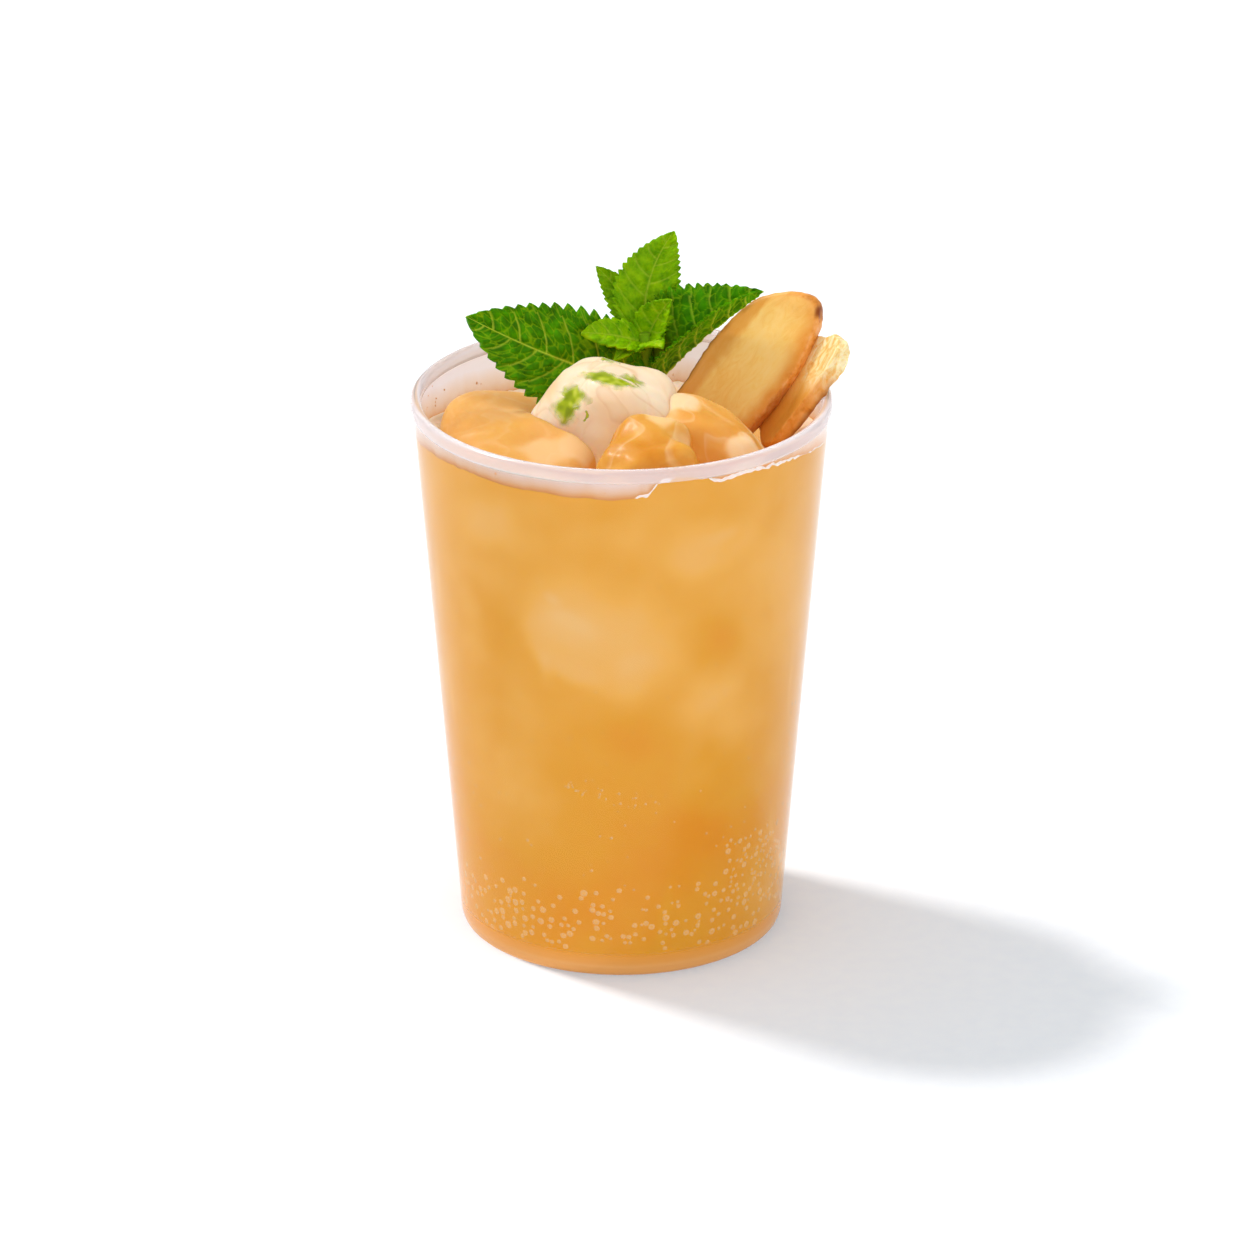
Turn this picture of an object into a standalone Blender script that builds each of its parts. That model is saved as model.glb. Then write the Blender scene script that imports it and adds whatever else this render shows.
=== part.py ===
"""Iced ginger drink in its clear plastic cup, with lumps of ice, a sprig of mint and two slices of ginger.

Run it with blender --background --python part.py, or from the text editor. The sizes below are in
millimetres. The cup stands on z = 0 with its axis on the z axis, and it is looked at from -Y.
"""

import math

import bmesh
import bpy
from mathutils import Matrix, Vector, noise

MM = 0.001
GAP = 0.3  # between pieces that touch
CUT_GAP = 1.3 * GAP  # a cutter's growth, as its facets take some of it back
SEGMENTS = 64  # sides of what is turned
SHARP = math.radians(40)  # edges that bend more than this stay sharp

# Cup: a moulded 500 ml tumbler of the usual 90 mm rim.
CUP_HEIGHT = 121.0
RIM_RADIUS = 45.0
LIP_WIDTH = 2.3
LIP_HEIGHT = 3.0
LIP_UNDERCUT = 0.5  # slant of the lip's lower face
WALL_TOP_RADIUS = 44.4
BASE_RADIUS = 34.8
WALL = 1.2
FOOT_CORNER = 1.8
FOOT_WIDTH = 1.5  # flat ring that stands on the table
RECESS_DEPTH = 3.0
FLOOR_HEIGHT = 4.4
FLOOR_CORNER = 2.0

# Drink: its level in the open at the back, and how far the packed ice lifts it up the wall.
LEVEL = 107.5
BACK_CREEP = 0.6
FRONT_CREEP = 8.0
CREEP_WIDTH = 8.0
CREEP_RIPPLE = 1.3
RIPPLES_ROUND = 1.9  # noise cells per radius round the wall
SURFACE_INSETS = (2, 5, 8, 15, 28)  # rings of the surface, from the wall inwards

# Ice: a blockiness of 2 would be round, and a large number a sharp cube.
BLOCKINESS = 3.4
BLOCK_CUTS = 5
DENTS = 1.5  # noise cells per half side
PITS = 3.6
PIT_SHARE = 0.45

# Ginger: how far the cut faces wave, and what share of the thickness the edges are rounded by.
SLICE_WAVE = 0.25
SLICE_ROUNDING = 0.2

# Sprig: the stem runs from inside the drink up to the node that carries the young leaves.
STEM_RADIUS = 1.3
STEM_FOOT = Vector((8.5, 15.0, 100.0))
STEM_LOW_NODE = Vector((6.4, 12.6, 117.5))
STEM_TOP_NODE = Vector((5.2, 11.6, 128.0))
STEM_END = Vector((5.0, 11.6, 130.5))
STEM_SIDES = 12
STEM_DOME = 0.6
LEAF_THICKNESS = 0.45
LEAF_LEAST_HALF = 0.7  # half width where a leaf joins the stem, and at its tip
LEAF_FULLNESS = 0.75  # below 1 fills the outline out, above 1 thins it
LEAF_BELLY = 0.86  # below 1 brings the widest place nearer to the base
TOOTH_DEPTH = 0.09  # share of the half width


def clear_scene():
    for obj in list(bpy.data.objects):
        bpy.data.objects.remove(obj, do_unlink=True)


def material(name, colour, roughness, transmission=0.0, ior=1.45):
    made = bpy.data.materials.new(name)
    made.use_nodes = True
    shader = made.node_tree.nodes["Principled BSDF"]
    shader.inputs["Base Color"].default_value = (*colour, 1.0)
    shader.inputs["Roughness"].default_value = roughness
    shader.inputs["Metallic"].default_value = 0.0
    shader.inputs["Transmission Weight"].default_value = transmission
    shader.inputs["IOR"].default_value = ior
    made.diffuse_color = (*colour, 1.0)
    return made


def add_object(name, mesh, finish=None):
    """A mesh object in the scene, smooth apart from its sharp edges."""
    obj = bpy.data.objects.new(name, mesh)
    bpy.context.scene.collection.objects.link(obj)
    if finish:
        mesh.materials.append(finish)
    mesh.shade_smooth()
    mesh.set_sharp_from_angle(angle=SHARP)
    return obj


def mesh_of(name, points, faces):
    """A mesh from points in millimetres, with its faces turned outwards."""
    mesh = bpy.data.meshes.new(name)
    mesh.from_pydata([tuple(Vector(point) * MM) for point in points], [], faces)
    shape = bmesh.new()
    shape.from_mesh(mesh)
    bmesh.ops.recalc_face_normals(shape, faces=shape.faces)
    shape.to_mesh(mesh)
    shape.free()
    return mesh


def smoothstep(low, high, value):
    share = min(max((value - low) / (high - low), 0.0), 1.0)
    return share * share * (3 - 2 * share)


def rings_mesh(name, rings, first_pole, last_pole):
    """Skin over closed rings of equally many points, closed by a point at each end."""
    count = len(rings[0])
    points = [first_pole] + [point for ring in rings for point in ring] + [last_pole]
    last = len(points) - 1
    faces = []
    for i in range(count):
        j = (i + 1) % count
        faces.append((0, 1 + j, 1 + i))
        for k in range(len(rings) - 1):
            low, high = 1 + k * count, 1 + (k + 1) * count
            faces += [(low + i, low + j, high + j), (low + i, high + j, high + i)]
        top = 1 + (len(rings) - 1) * count
        faces.append((top + i, top + j, last))
    return mesh_of(name, points, faces)


def turned(name, profile):
    """Turns profile(angle), a list of (radius, height) from the axis round to the axis, about z."""
    angles = [2 * math.pi * i / SEGMENTS for i in range(SEGMENTS)]
    profiles = [profile(angle) for angle in angles]
    rings = [
        [(p[k][0] * math.cos(a), p[k][0] * math.sin(a), p[k][1]) for a, p in zip(angles, profiles)]
        for k in range(1, len(profiles[0]) - 1)
    ]
    return rings_mesh(name, rings, (0, 0, profiles[0][0][1]), (0, 0, profiles[0][-1][1]))


def arc(radius, height, bend, start, end, steps):
    """Points of an arc in a profile, its angles in degrees from outwards towards up."""
    turns = [math.radians(start + (end - start) * i / steps) for i in range(steps + 1)]
    return [(radius + bend * math.cos(t), height + bend * math.sin(t)) for t in turns]


def wall_radius(height):
    """Outer radius of the cup's straight wall."""
    rise = (WALL_TOP_RADIUS - BASE_RADIUS) / (CUP_HEIGHT - LIP_HEIGHT)
    return BASE_RADIUS + rise * height


def cup_profile():
    """The cup's section: under its floor, up its outside, over the lip and down its inside."""
    foot = BASE_RADIUS - FOOT_CORNER
    ring = foot - FOOT_WIDTH
    bead = LIP_WIDTH / 2
    bead_height = CUP_HEIGHT - bead
    under_lip = CUP_HEIGHT - LIP_HEIGHT
    inner_corner = wall_radius(FLOOR_HEIGHT) - WALL - FLOOR_CORNER
    profile = [(0, RECESS_DEPTH), (ring - LIP_UNDERCUT, RECESS_DEPTH), (ring, 0)]
    profile += arc(foot, FOOT_CORNER, FOOT_CORNER, -90, -5, 2)
    profile += [(wall_radius(under_lip), under_lip), (RIM_RADIUS, under_lip + LIP_UNDERCUT)]
    profile += arc(RIM_RADIUS - bead, bead_height, bead, 0, 180, 4)
    profile.append((RIM_RADIUS - LIP_WIDTH, under_lip + LIP_UNDERCUT))
    profile.append((wall_radius(under_lip) - WALL, under_lip - LIP_UNDERCUT))
    profile += arc(inner_corner, FLOOR_HEIGHT + FLOOR_CORNER, FLOOR_CORNER, 0, -90, 2)
    return profile + [(0, FLOOR_HEIGHT)]


def drink_level(angle, inset):
    """Height of the drink this far in from its edge: it creeps up the wall, most at the front."""
    to_front = smoothstep(-0.5, 0.25, -math.sin(angle))
    round_wall = Vector((math.cos(angle), math.sin(angle), 0)) * RIPPLES_ROUND
    ripple = CREEP_RIPPLE * noise.noise(round_wall + Vector((0, 0, 0.7)))
    creep = BACK_CREEP + FRONT_CREEP * to_front + ripple
    return LEVEL + creep * (1 - smoothstep(0, CREEP_WIDTH, inset))


def drink_profile(angle):
    """The drink's section this way from the axis: along the floor, up the wall and back in."""
    corner = wall_radius(FLOOR_HEIGHT) - WALL - FLOOR_CORNER
    edge_height = drink_level(angle, 0)
    edge = wall_radius(edge_height) - WALL - GAP
    profile = [(0, FLOOR_HEIGHT + GAP)]
    profile += arc(corner, FLOOR_HEIGHT + FLOOR_CORNER, FLOOR_CORNER - GAP, -90, 0, 2)
    profile.append((edge, edge_height))
    profile += [(edge - inset, drink_level(angle, inset)) for inset in SURFACE_INSETS]
    return profile + [(0, LEVEL)]


def ice_block(name, centre, half, turn, lump, seed, swells, grow=0.0):
    """A melting cube: a rounded block of half sizes half, turned by degrees about x, y and z.

    lump is how far its dents and pits go, and seed picks them. Each of the swells is a place, how
    wide it is and how far the block bulges out there, or sinks in below 0.
    """
    cube = bmesh.new()
    bmesh.ops.create_cube(cube, size=2.0)
    bmesh.ops.subdivide_edges(cube, edges=cube.edges, cuts=BLOCK_CUTS, use_grid_fill=True)
    bmesh.ops.triangulate(cube, faces=cube.faces)
    bmesh.ops.recalc_face_normals(cube, faces=cube.faces)
    turned_by = Matrix.Rotation(math.radians(turn[2]), 3, "Z")
    turned_by @= Matrix.Rotation(math.radians(turn[1]), 3, "Y")
    turned_by @= Matrix.Rotation(math.radians(turn[0]), 3, "X")
    for vertex in cube.verts:
        at = vertex.co / sum(abs(c) ** BLOCKINESS for c in vertex.co) ** (1 / BLOCKINESS)
        dent = noise.noise(at * DENTS + Vector((seed, 0, 0)))
        pit = noise.noise(at * PITS + Vector((0, seed, 0)))
        size = Vector([c * (h + grow) for c, h in zip(at, half)])
        size += at.normalized() * lump * (dent + PIT_SHARE * pit)
        spot = turned_by @ size + Vector(centre)
        vertex.co = spot * MM
        outwards = turned_by @ at.normalized()
        for place, reach, rise in swells:
            share = math.exp(-(((spot - Vector(place)).length / reach) ** 2))
            vertex.co += outwards * rise * share * MM
    mesh = bpy.data.meshes.new(name)
    cube.to_mesh(mesh)
    cube.free()
    return mesh


def smooth_loop(corners, steps):
    """Points on a smooth closed curve through the corners."""
    found = []
    count = len(corners)
    for i in range(count):
        a, b, c, d = (Vector(corners[(i + k) % count]) for k in (-1, 0, 1, 2))
        square = 2 * a - 5 * b + 4 * c - d
        cube = 3 * b - a - 3 * c + d
        for step in range(steps):
            t = step / steps
            found.append(b + 0.5 * ((c - a) * t + square * t**2 + cube * t**3))
    return found


def slice_solid(name, outline, place, along, facing, thickness, narrow, bow, grow=0.0):
    """A slice of ginger: outline is its back face as (along, across), and place its point (0, 0).

    The front face looks along facing. It is narrow times as wide as the back one, because the root
    was cut at a slant, and the slice is bowed by bow over its length.
    """
    normal = Vector(facing).normalized()
    length_way = (Vector(along) - normal * normal.dot(Vector(along))).normalized()
    width_way = normal.cross(length_way)
    edge = smooth_loop(outline, 4)
    middle = sum(edge, Vector((0, 0))) / len(edge)
    reach = max(abs(point.x - middle.x) for point in edge)

    def point_at(share, depth, width, point):
        away = point - middle
        grown = away * (1 + grow / away.length) if grow else away
        flat = middle + grown * share
        across = middle.y + (flat.y - middle.y) * width
        bend = bow * ((flat.x - middle.x) / reach) ** 2
        wave = SLICE_WAVE * noise.noise(Vector((flat.x * 0.12, across * 0.3, depth * 0.2)))
        in_plane = length_way * flat.x + width_way * across
        return Vector(place) + in_plane + normal * (depth + bend + wave)

    front = thickness + grow
    rounding = SLICE_ROUNDING * thickness
    layers = [(0.5, front, narrow), (0.86, front, narrow), (0.96, front - rounding, narrow)]
    layers += [(1.0, thickness / 2, (1 + narrow) / 2)]
    layers += [(0.97, rounding - grow, 1.0), (0.86, -grow, 1.0), (0.5, -grow, 1.0)]
    rings = [[point_at(*layer, point) for point in edge] for layer in layers]
    pole_front = sum(rings[0], Vector()) / len(edge)
    pole_back = sum(rings[-1], Vector()) / len(edge)
    return rings_mesh(name, rings, pole_front, pole_back)


def leaf_mesh(name, base, tip, facing, width, arch, sway, fold, wave, teeth, columns, rows):
    """A mint leaf from base to tip: a thin wavy solid whose two faces are split alike.

    facing is the way its upper face looks. Its midrib rises by arch and bends aside by sway, fold is
    the angle in degrees that each half stands up from flat, and teeth the serrations down each side.
    """
    way = (tip - base).normalized()
    side = way.cross(Vector(facing)).normalized()
    normal = side.cross(way)
    turned_up = math.radians(fold)
    upper = []
    lower = []
    for i in range(columns + 1):
        s = i / columns
        rib = base.lerp(tip, s) + (normal * arch + side * sway) * 4 * s * (1 - s)
        swell = math.sin(math.pi * min(1.0, 0.04 + 0.96 * s**LEAF_BELLY)) ** LEAF_FULLNESS
        tooth = 1 - TOOTH_DEPTH * ((s * teeth) % 1.0)
        half = max(0.5 * width * swell * tooth, LEAF_LEAST_HALF)
        for j in range(rows + 1):
            t = 2 * j / rows - 1
            out = abs(t) * half
            lift = out * math.sin(turned_up) + wave * t * t * math.sin(2.3 * math.pi * s + 1.4 * t)
            point = rib + side * (math.copysign(out, t) * math.cos(turned_up)) + normal * lift
            upper.append(point + normal * LEAF_THICKNESS / 2)
            lower.append(point - normal * LEAF_THICKNESS / 2)
    points = upper + lower
    under = len(upper)
    faces = []
    stride = rows + 1
    for i in range(columns):
        for j in range(rows):
            a = i * stride + j
            b, c, d = a + 1, a + stride + 1, a + stride
            faces += [(a, b, c), (a, c, d)]
            faces += [(under + c, under + b, under + a), (under + d, under + c, under + a)]
    rim = [i * stride for i in range(columns)]
    rim += [columns * stride + j for j in range(rows)]
    rim += [i * stride + rows for i in range(columns, 0, -1)]
    rim += [j for j in range(rows, 0, -1)]
    for a, b in zip(rim, rim[1:] + rim[:1]):
        faces.append((a, b, under + b, under + a))
    return mesh_of(name, points, faces)


def stem_mesh(name, grow=0.0):
    """The sprig's stem, a round stalk through its nodes."""
    half_way = STEM_FOOT.lerp(STEM_LOW_NODE, 0.5)
    route = [STEM_FOOT, half_way, STEM_LOW_NODE, STEM_TOP_NODE, STEM_END]
    radius = STEM_RADIUS + grow
    dome = Vector((0, 0, STEM_DOME + grow))
    turns = [2 * math.pi * k / STEM_SIDES for k in range(STEM_SIDES)]
    rings = []
    for i, centre in enumerate(route):
        way = (route[min(i + 1, len(route) - 1)] - route[max(i - 1, 0)]).normalized()
        right = way.cross(Vector((0, 1, 0))).normalized()
        back = right.cross(way)
        rings.append([centre + (right * math.cos(t) + back * math.sin(t)) * radius for t in turns])
    return rings_mesh(name, rings, STEM_FOOT - dome, STEM_END + dome)


# Lumps of ice that stand out of the drink.
ICE = {
    "ice_centre": dict(
        centre=(-1.9, -7.0, 112.6), half=(16.5, 10.5, 15.5), turn=(6, 38, 4), lump=1.6, seed=3.0,
        swells=[
            ((-16, -3, 117.5), 8, 4.0), ((-17, -16, 113), 9, -6.0), ((8, -4, 124), 5, 2.4),
            ((2, -18, 111), 8, 2.0), ((17, -2, 113), 9, -6.0), ((-13.5, 3.5, 116.5), 7, -5.5),
        ],
    ),
    "ice_left": dict(
        centre=(-22.5, -3.5, 107.2), half=(15.5, 23.0, 10.5), turn=(0, 4, 10), lump=1.0, seed=11.0,
        swells=[
            ((-13, -7, 113), 7, 3.5), ((-9, -13, 112), 6, 1.5), ((-8, -27, 108), 7, 1.5),
            ((-14, 3, 115.5), 6, -5.0), ((-20, -20, 118), 7, -1.6),
        ],
    ),
    "ice_right": dict(
        centre=(18.0, -11.5, 109.6), half=(14.0, 10.0, 12.0), turn=(0, 10, -14), lump=1.3, seed=23.0,
        swells=[((10, -8, 118), 6, 2.5), ((30, -10, 117), 8, -3.0)],
    ),
    "ice_front": dict(
        centre=(7.1, -25.0, 111.0), half=(11.5, 9.5, 11.0), turn=(6, -2, 8), lump=2.0, seed=31.0,
        swells=[((3, -20, 121), 4, 1.8), ((18, -25, 119), 7, -3.5)],
    ),
}

# Outlines of the slices' back faces, as (along, across) from the point where each is placed.
GINGER = {
    "ginger_slice_front": dict(
        outline=[
            (-15, 2), (-10, 8), (2, 9.4), (12, 10.4), (23, 9.2), (29.5, 4.8), (32.6, -0.2),
            (32.0, -3.4), (27.5, -6.4), (18, -9.0), (6, -9.6), (-6, -8.2), (-13, -3.5),
        ],
        place=(20.4, 5.7, 114.4), along=(0.63, 0.21, 0.74), facing=(-0.25, -0.85, 0.46),
        thickness=4.2, narrow=0.97, bow=-0.8,
    ),
    "ginger_slice_back": dict(
        outline=[
            (-17, 4), (-12, 10), (-2, 12), (6, 9.5), (8.8, 6), (9.4, 3.4), (10.1, 1.7),
            (9.3, -0.4), (7.2, -2.6), (4.8, -4.1), (2, -4.2), (-3, -3.5), (-11, -2), (-16, 0),
        ],
        place=(42.2, 2.0, 122.2), along=(0.5, 0.25, 0.83), facing=(-0.7, -0.42, 0.57),
        thickness=3.2, narrow=0.8, bow=0.4,
    ),
}

# Leaves: tips as seen, each from the node of the stem that carries it.
LEAVES = {
    "leaf_left": dict(
        base=STEM_LOW_NODE, tip=Vector((-33.0, 4.5, 136.9)), facing=(0.0, -0.96, 0.28), width=23.4,
        arch=2.0, sway=-1.1, fold=8, wave=1.0, teeth=11, columns=22, rows=8,
    ),
    "leaf_right": dict(
        base=STEM_LOW_NODE, tip=Vector((30.3, 8.6, 141.0)), facing=(-0.5, -0.33, 0.78), width=23.0,
        arch=1.0, sway=0.0, fold=58, wave=0.8, teeth=10, columns=20, rows=6,
    ),
    "leaf_top": dict(
        base=STEM_TOP_NODE, tip=Vector((11.3, 18.0, 151.3)), facing=(-0.1, -0.95, 0.3), width=15.0,
        arch=-1.5, sway=-2.7, fold=16, wave=0.6, teeth=10, columns=18, rows=6,
    ),
    "leaf_top_left": dict(
        base=STEM_TOP_NODE, tip=Vector((-5.4, 20.0, 142.6)), facing=(-0.2, -0.85, 0.5), width=9.0,
        arch=-2.0, sway=1.2, fold=16, wave=0.6, teeth=8, columns=14, rows=4,
    ),
    "leaf_young_left": dict(
        base=STEM_TOP_NODE, tip=Vector((-8.4, 4.0, 133.4)), facing=(0.1, -0.6, 0.8), width=9.0,
        arch=1.0, sway=0.0, fold=14, wave=0.5, teeth=6, columns=10, rows=4,
    ),
    "leaf_young_centre": dict(
        base=STEM_TOP_NODE, tip=Vector((10.6, 8.0, 139.4)), facing=(-0.5, -0.85, 0.2), width=9.0,
        arch=-0.8, sway=-1.0, fold=30, wave=0.3, teeth=5, columns=8, rows=4,
    ),
    "leaf_young_front": dict(
        base=STEM_TOP_NODE, tip=Vector((8.6, 4.6, 129.8)), facing=(0.0, -0.5, 0.86), width=6.2,
        arch=0.8, sway=0.0, fold=10, wave=0.3, teeth=5, columns=8, rows=4,
    ),
}


def cut(obj, meshes):
    """Takes each mesh out of the object, one Boolean after another, and applies them."""
    for mesh in meshes:
        cutter = bpy.data.objects.new("cutter", mesh)
        cutter.hide_render = True
        cutter.display_type = "WIRE"
        bpy.context.scene.collection.objects.link(cutter)
        boolean = obj.modifiers.new("cut", "BOOLEAN")
        boolean.operation = "DIFFERENCE"
        boolean.solver = "EXACT"
        boolean.object = cutter
        apply_modifiers(obj)
        bpy.data.objects.remove(cutter, do_unlink=True)
    drop_scraps(obj)


def drop_scraps(obj):
    """Keeps the largest connected piece of a mesh."""
    shape = bmesh.new()
    shape.from_mesh(obj.data)
    left = set(shape.verts)
    pieces = []
    while left:
        piece = {left.pop()}
        edge = list(piece)
        while edge:
            near = {e.other_vert(v) for v in edge for e in v.link_edges} & left
            left -= near
            piece |= near
            edge = list(near)
        pieces.append(piece)
    largest = max(pieces, key=len)
    bmesh.ops.delete(shape, geom=[v for v in shape.verts if v not in largest], context="VERTS")
    shape.to_mesh(obj.data)
    shape.free()


def apply_modifiers(obj):
    graph = bpy.context.evaluated_depsgraph_get()
    graph.update()
    made = bpy.data.meshes.new_from_object(obj.evaluated_get(graph))
    old = obj.data
    obj.modifiers.clear()
    obj.data = made
    bpy.data.meshes.remove(old)
    made.name = obj.name


def make_sprig(finish):
    """The stem with all its leaves, as one body."""
    group = bpy.data.collections.new("leaves")
    bpy.context.scene.collection.children.link(group)
    for name, leaf in LEAVES.items():
        group.objects.link(bpy.data.objects.new(name, leaf_mesh(name, **leaf)))
    sprig = add_object("mint_sprig", stem_mesh("mint_sprig"), finish)
    union = sprig.modifiers.new("join", "BOOLEAN")
    union.operation = "UNION"
    union.solver = "EXACT"
    union.operand_type = "COLLECTION"
    union.collection = group
    apply_modifiers(sprig)
    for leaf in list(group.objects):
        bpy.data.objects.remove(leaf, do_unlink=True)
    bpy.data.collections.remove(group)
    sprig.data.shade_smooth()
    sprig.data.set_sharp_from_angle(angle=SHARP)


def grown_ice(names):
    return [ice_block("grown", **ICE[name], grow=CUT_GAP) for name in names]


def grown_ginger(names):
    return [slice_solid("grown", **GINGER[name], grow=CUT_GAP) for name in names]


def main():
    clear_scene()
    clear_plastic = material("clear_plastic", (0.90, 0.88, 0.88), 0.18, transmission=0.9, ior=1.49)
    drink = material("drink", (0.80, 0.38, 0.07), 0.1, transmission=0.2, ior=1.34)
    ice = material("ice", (0.88, 0.62, 0.34), 0.12, transmission=0.6, ior=1.31)
    ginger = material("ginger", (0.85, 0.55, 0.18), 0.5)
    mint = material("mint", (0.07, 0.22, 0.01), 0.45)

    add_object("cup", turned("cup", lambda angle: cup_profile()), clear_plastic)
    blocks = list(ICE)
    for i, name in enumerate(blocks):
        block = add_object(name, ice_block(name, **ICE[name]), ice)
        cut(block, grown_ice(blocks[:i]))
    for i, name in enumerate(GINGER):
        piece = add_object(name, slice_solid(name, **GINGER[name]), ginger)
        cut(piece, grown_ice(blocks) + grown_ginger(list(GINGER)[:i]))
    liquid = add_object("drink", turned("drink", drink_profile), drink)
    cut(liquid, grown_ice(blocks) + grown_ginger(GINGER) + [stem_mesh("grown", grow=CUT_GAP)])
    make_sprig(mint)


if __name__ == "__main__":
    main()
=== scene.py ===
"""Iced ginger drink in its clear plastic cup: how it looks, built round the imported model.

Sizes are in millimetres, in the model's own frame: the cup stands on z = 0 with its axis on the z axis,
and the photograph looks along +Y. Angles round the cup are in degrees from the front, -Y, towards +X.
"""

import math
import random
from collections import namedtuple

import bmesh
import bpy
import numpy as np
from bpy.props import FloatProperty, FloatVectorProperty, PointerProperty
from mathutils import Matrix, Vector, noise
from mathutils.bvhtree import BVHTree


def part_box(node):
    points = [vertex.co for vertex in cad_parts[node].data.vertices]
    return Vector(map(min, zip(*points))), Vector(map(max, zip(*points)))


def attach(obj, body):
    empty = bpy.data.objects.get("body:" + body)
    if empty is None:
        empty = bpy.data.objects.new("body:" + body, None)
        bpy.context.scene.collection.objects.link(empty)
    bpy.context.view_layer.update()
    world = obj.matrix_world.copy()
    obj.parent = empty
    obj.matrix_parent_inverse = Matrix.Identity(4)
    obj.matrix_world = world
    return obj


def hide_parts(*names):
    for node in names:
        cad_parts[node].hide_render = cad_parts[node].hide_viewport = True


bl_info = {
    "name": "Iced ginger drink",
    "version": (1, 0, 0),
    "blender": (4, 5, 0),
    "location": "3D View > Sidebar > Ginger drink",
    "description": "Builds an iced ginger drink in a clear plastic cup, piece by piece",
    "category": "Add Mesh",
}

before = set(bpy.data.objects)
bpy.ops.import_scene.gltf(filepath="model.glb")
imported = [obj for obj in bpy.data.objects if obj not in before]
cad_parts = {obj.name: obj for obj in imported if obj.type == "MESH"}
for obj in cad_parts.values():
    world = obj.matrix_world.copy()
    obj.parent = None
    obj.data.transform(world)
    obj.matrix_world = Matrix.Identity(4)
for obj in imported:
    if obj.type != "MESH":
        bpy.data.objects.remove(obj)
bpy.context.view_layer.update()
MM = 0.001
MIX_SHARE, MIX_UNDER, MIX_OVER, MIX_COLOUR = 0, 6, 7, 2  # sockets of a node that mixes colours
BODY = "root"

# Cup, as in the model.
CUP_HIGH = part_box("cup")[1]
CUP_HEIGHT = CUP_HIGH.z / MM
RIM_RADIUS = CUP_HIGH.x / MM
LIP_WIDTH = 2.3
LIP_HEIGHT = 3.0
WALL_TOP_RADIUS = RIM_RADIUS - 0.6
BASE_RADIUS = 34.8
WALL = 1.2
FOOT_CORNER = 1.8
FOOT_WIDTH = 1.5
# The foot's colour below this height is painted: the drink seen through the plastic, and a painted bright
# line of light.
FOOT_TOP = 6.4  # up to here the plastic takes on the drink's colour
RECESS_DEPTH = 3.0
FLOOR_HEIGHT = 4.4
FLOOR_CORNER = 2.0
WALL_SLOPE = (WALL_TOP_RADIUS - BASE_RADIUS) / (CUP_HEIGHT - LIP_HEIGHT)
CUP_SIDES = 256

# Drink: it reaches this far into the wall and the ice, so that no gap shows between them.
INTO_WALL = 0.45
INTO_ICE = 1.3
LEVEL = 107.5
BACK_CREEP = 0.6
FRONT_CREEP = 8.0
CREEP_WIDTH = 8.0
SHEET_HEIGHT_MOST = 118.9

# Where the wet sheet on the wall ends, as (angle, height).
WET_EDGE = [
    (-180, 108.2), (-150, 108.4), (-120, 109.6), (-98, 111.8), (-78, 113.7), (-66, 114.7), (-45, 114.9),
    (-29, 114.5), (-9, 114.1), (3, 114.2), (7, 115.2), (10.5, 117.9), (14, 118.7), (18, 118.8), (21, 118.5),
    (23, 117.6), (28, 116.6), (33, 117.2), (42, 116.9), (53, 116.3), (65, 115.0), (79, 113.4), (100, 111.2),
    (130, 109.0), (160, 108.2), (180, 108.2),
]

# Ice sunk in the drink, which shows as pale patches through the wall: angle and height of its middle,
# half its width and height, how far it is turned, how soft its edge is, how pale it looks, and how
# crisp it is towards the lower left.
SUNK_ICE = [
    (-6, 81.5, 20.0, 13.5, -14, 0.95, 0.75, 0.75), (-13, 86.0, 11.0, 7.5, -20, 1.0, 0.35, 0.4),
    (6, 74.0, 10.0, 7.0, 20, 1.0, 0.25, 0.2), (-41, 105.0, 10.5, 7.0, 10, 1.0, 0.60, 0.3),
    (25, 101.5, 13.0, 7.0, 8, 1.0, 0.55, 0.3), (46, 94.0, 12.0, 9.0, -10, 1.0, 0.45, 0.0),
    (30, 63.5, 8.5, 10.0, 20, 1.0, 0.60, 0.2), (36, 56.0, 5.0, 5.0, 0, 1.0, 0.35, 0.0),
    (-38, 42.0, 15.0, 19.0, 8, 1.0, 0.50, 0.1), (-28, 63.0, 9.0, 8.0, 0, 1.0, 0.18, 0.0),
    (0, 105.0, 12.0, 5.0, 0, 1.0, 0.25, 0.0), (62, 80.0, 10.0, 16.0, 0, 1.0, 0.35, 0.0),
    (66, 12.0, 14.0, 12.0, 0, 1.0, 0.40, 0.0), (-74, 62.0, 9.0, 18.0, 0, 1.0, 0.25, 0.0),
    (118, 70.0, 15.0, 13.0, 10, 0.9, 0.8, 0.5), (168, 92.0, 17.0, 11.0, -12, 0.9, 0.8, 0.6),
    (-142, 64.0, 16.0, 14.0, 14, 0.9, 0.8, 0.6), (-112, 98.0, 13.0, 9.0, -8, 1.0, 0.7, 0.3),
    (152, 42.0, 14.0, 12.0, 0, 1.0, 0.6, 0.2),
]
# Where no ice lies behind the wall, so that the drink looks deepest, and painted shade: the long band on the
# left darkens the drink where the key light falls on it. Each as middle, half sizes, turn and strength.
DEEP_DRINK_AND_PAINTED_SHADE = [
    (24, 31.0, 17.0, 11.0, 0, 1.0), (29, 79.0, 8.0, 6.0, 0, 0.8), (-43, 82.0, 6.0, 9.0, 0, 0.55),
    (1, 57.0, 9.0, 6.0, 0, 0.6), (-10, 16.0, 20.0, 9.0, 0, 0.45), (-95, 30.0, 16.0, 12.0, 0, 0.7),
    (95, 108.0, 10.0, 6.0, 0, 0.5), (-175, 24.0, 22.0, 12.0, 0, 0.9), (90, 50.0, 9.0, 40.0, 0, 0.5),
    (-92, 60.0, 16.0, 70.0, 0, 1.1),
]
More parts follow.
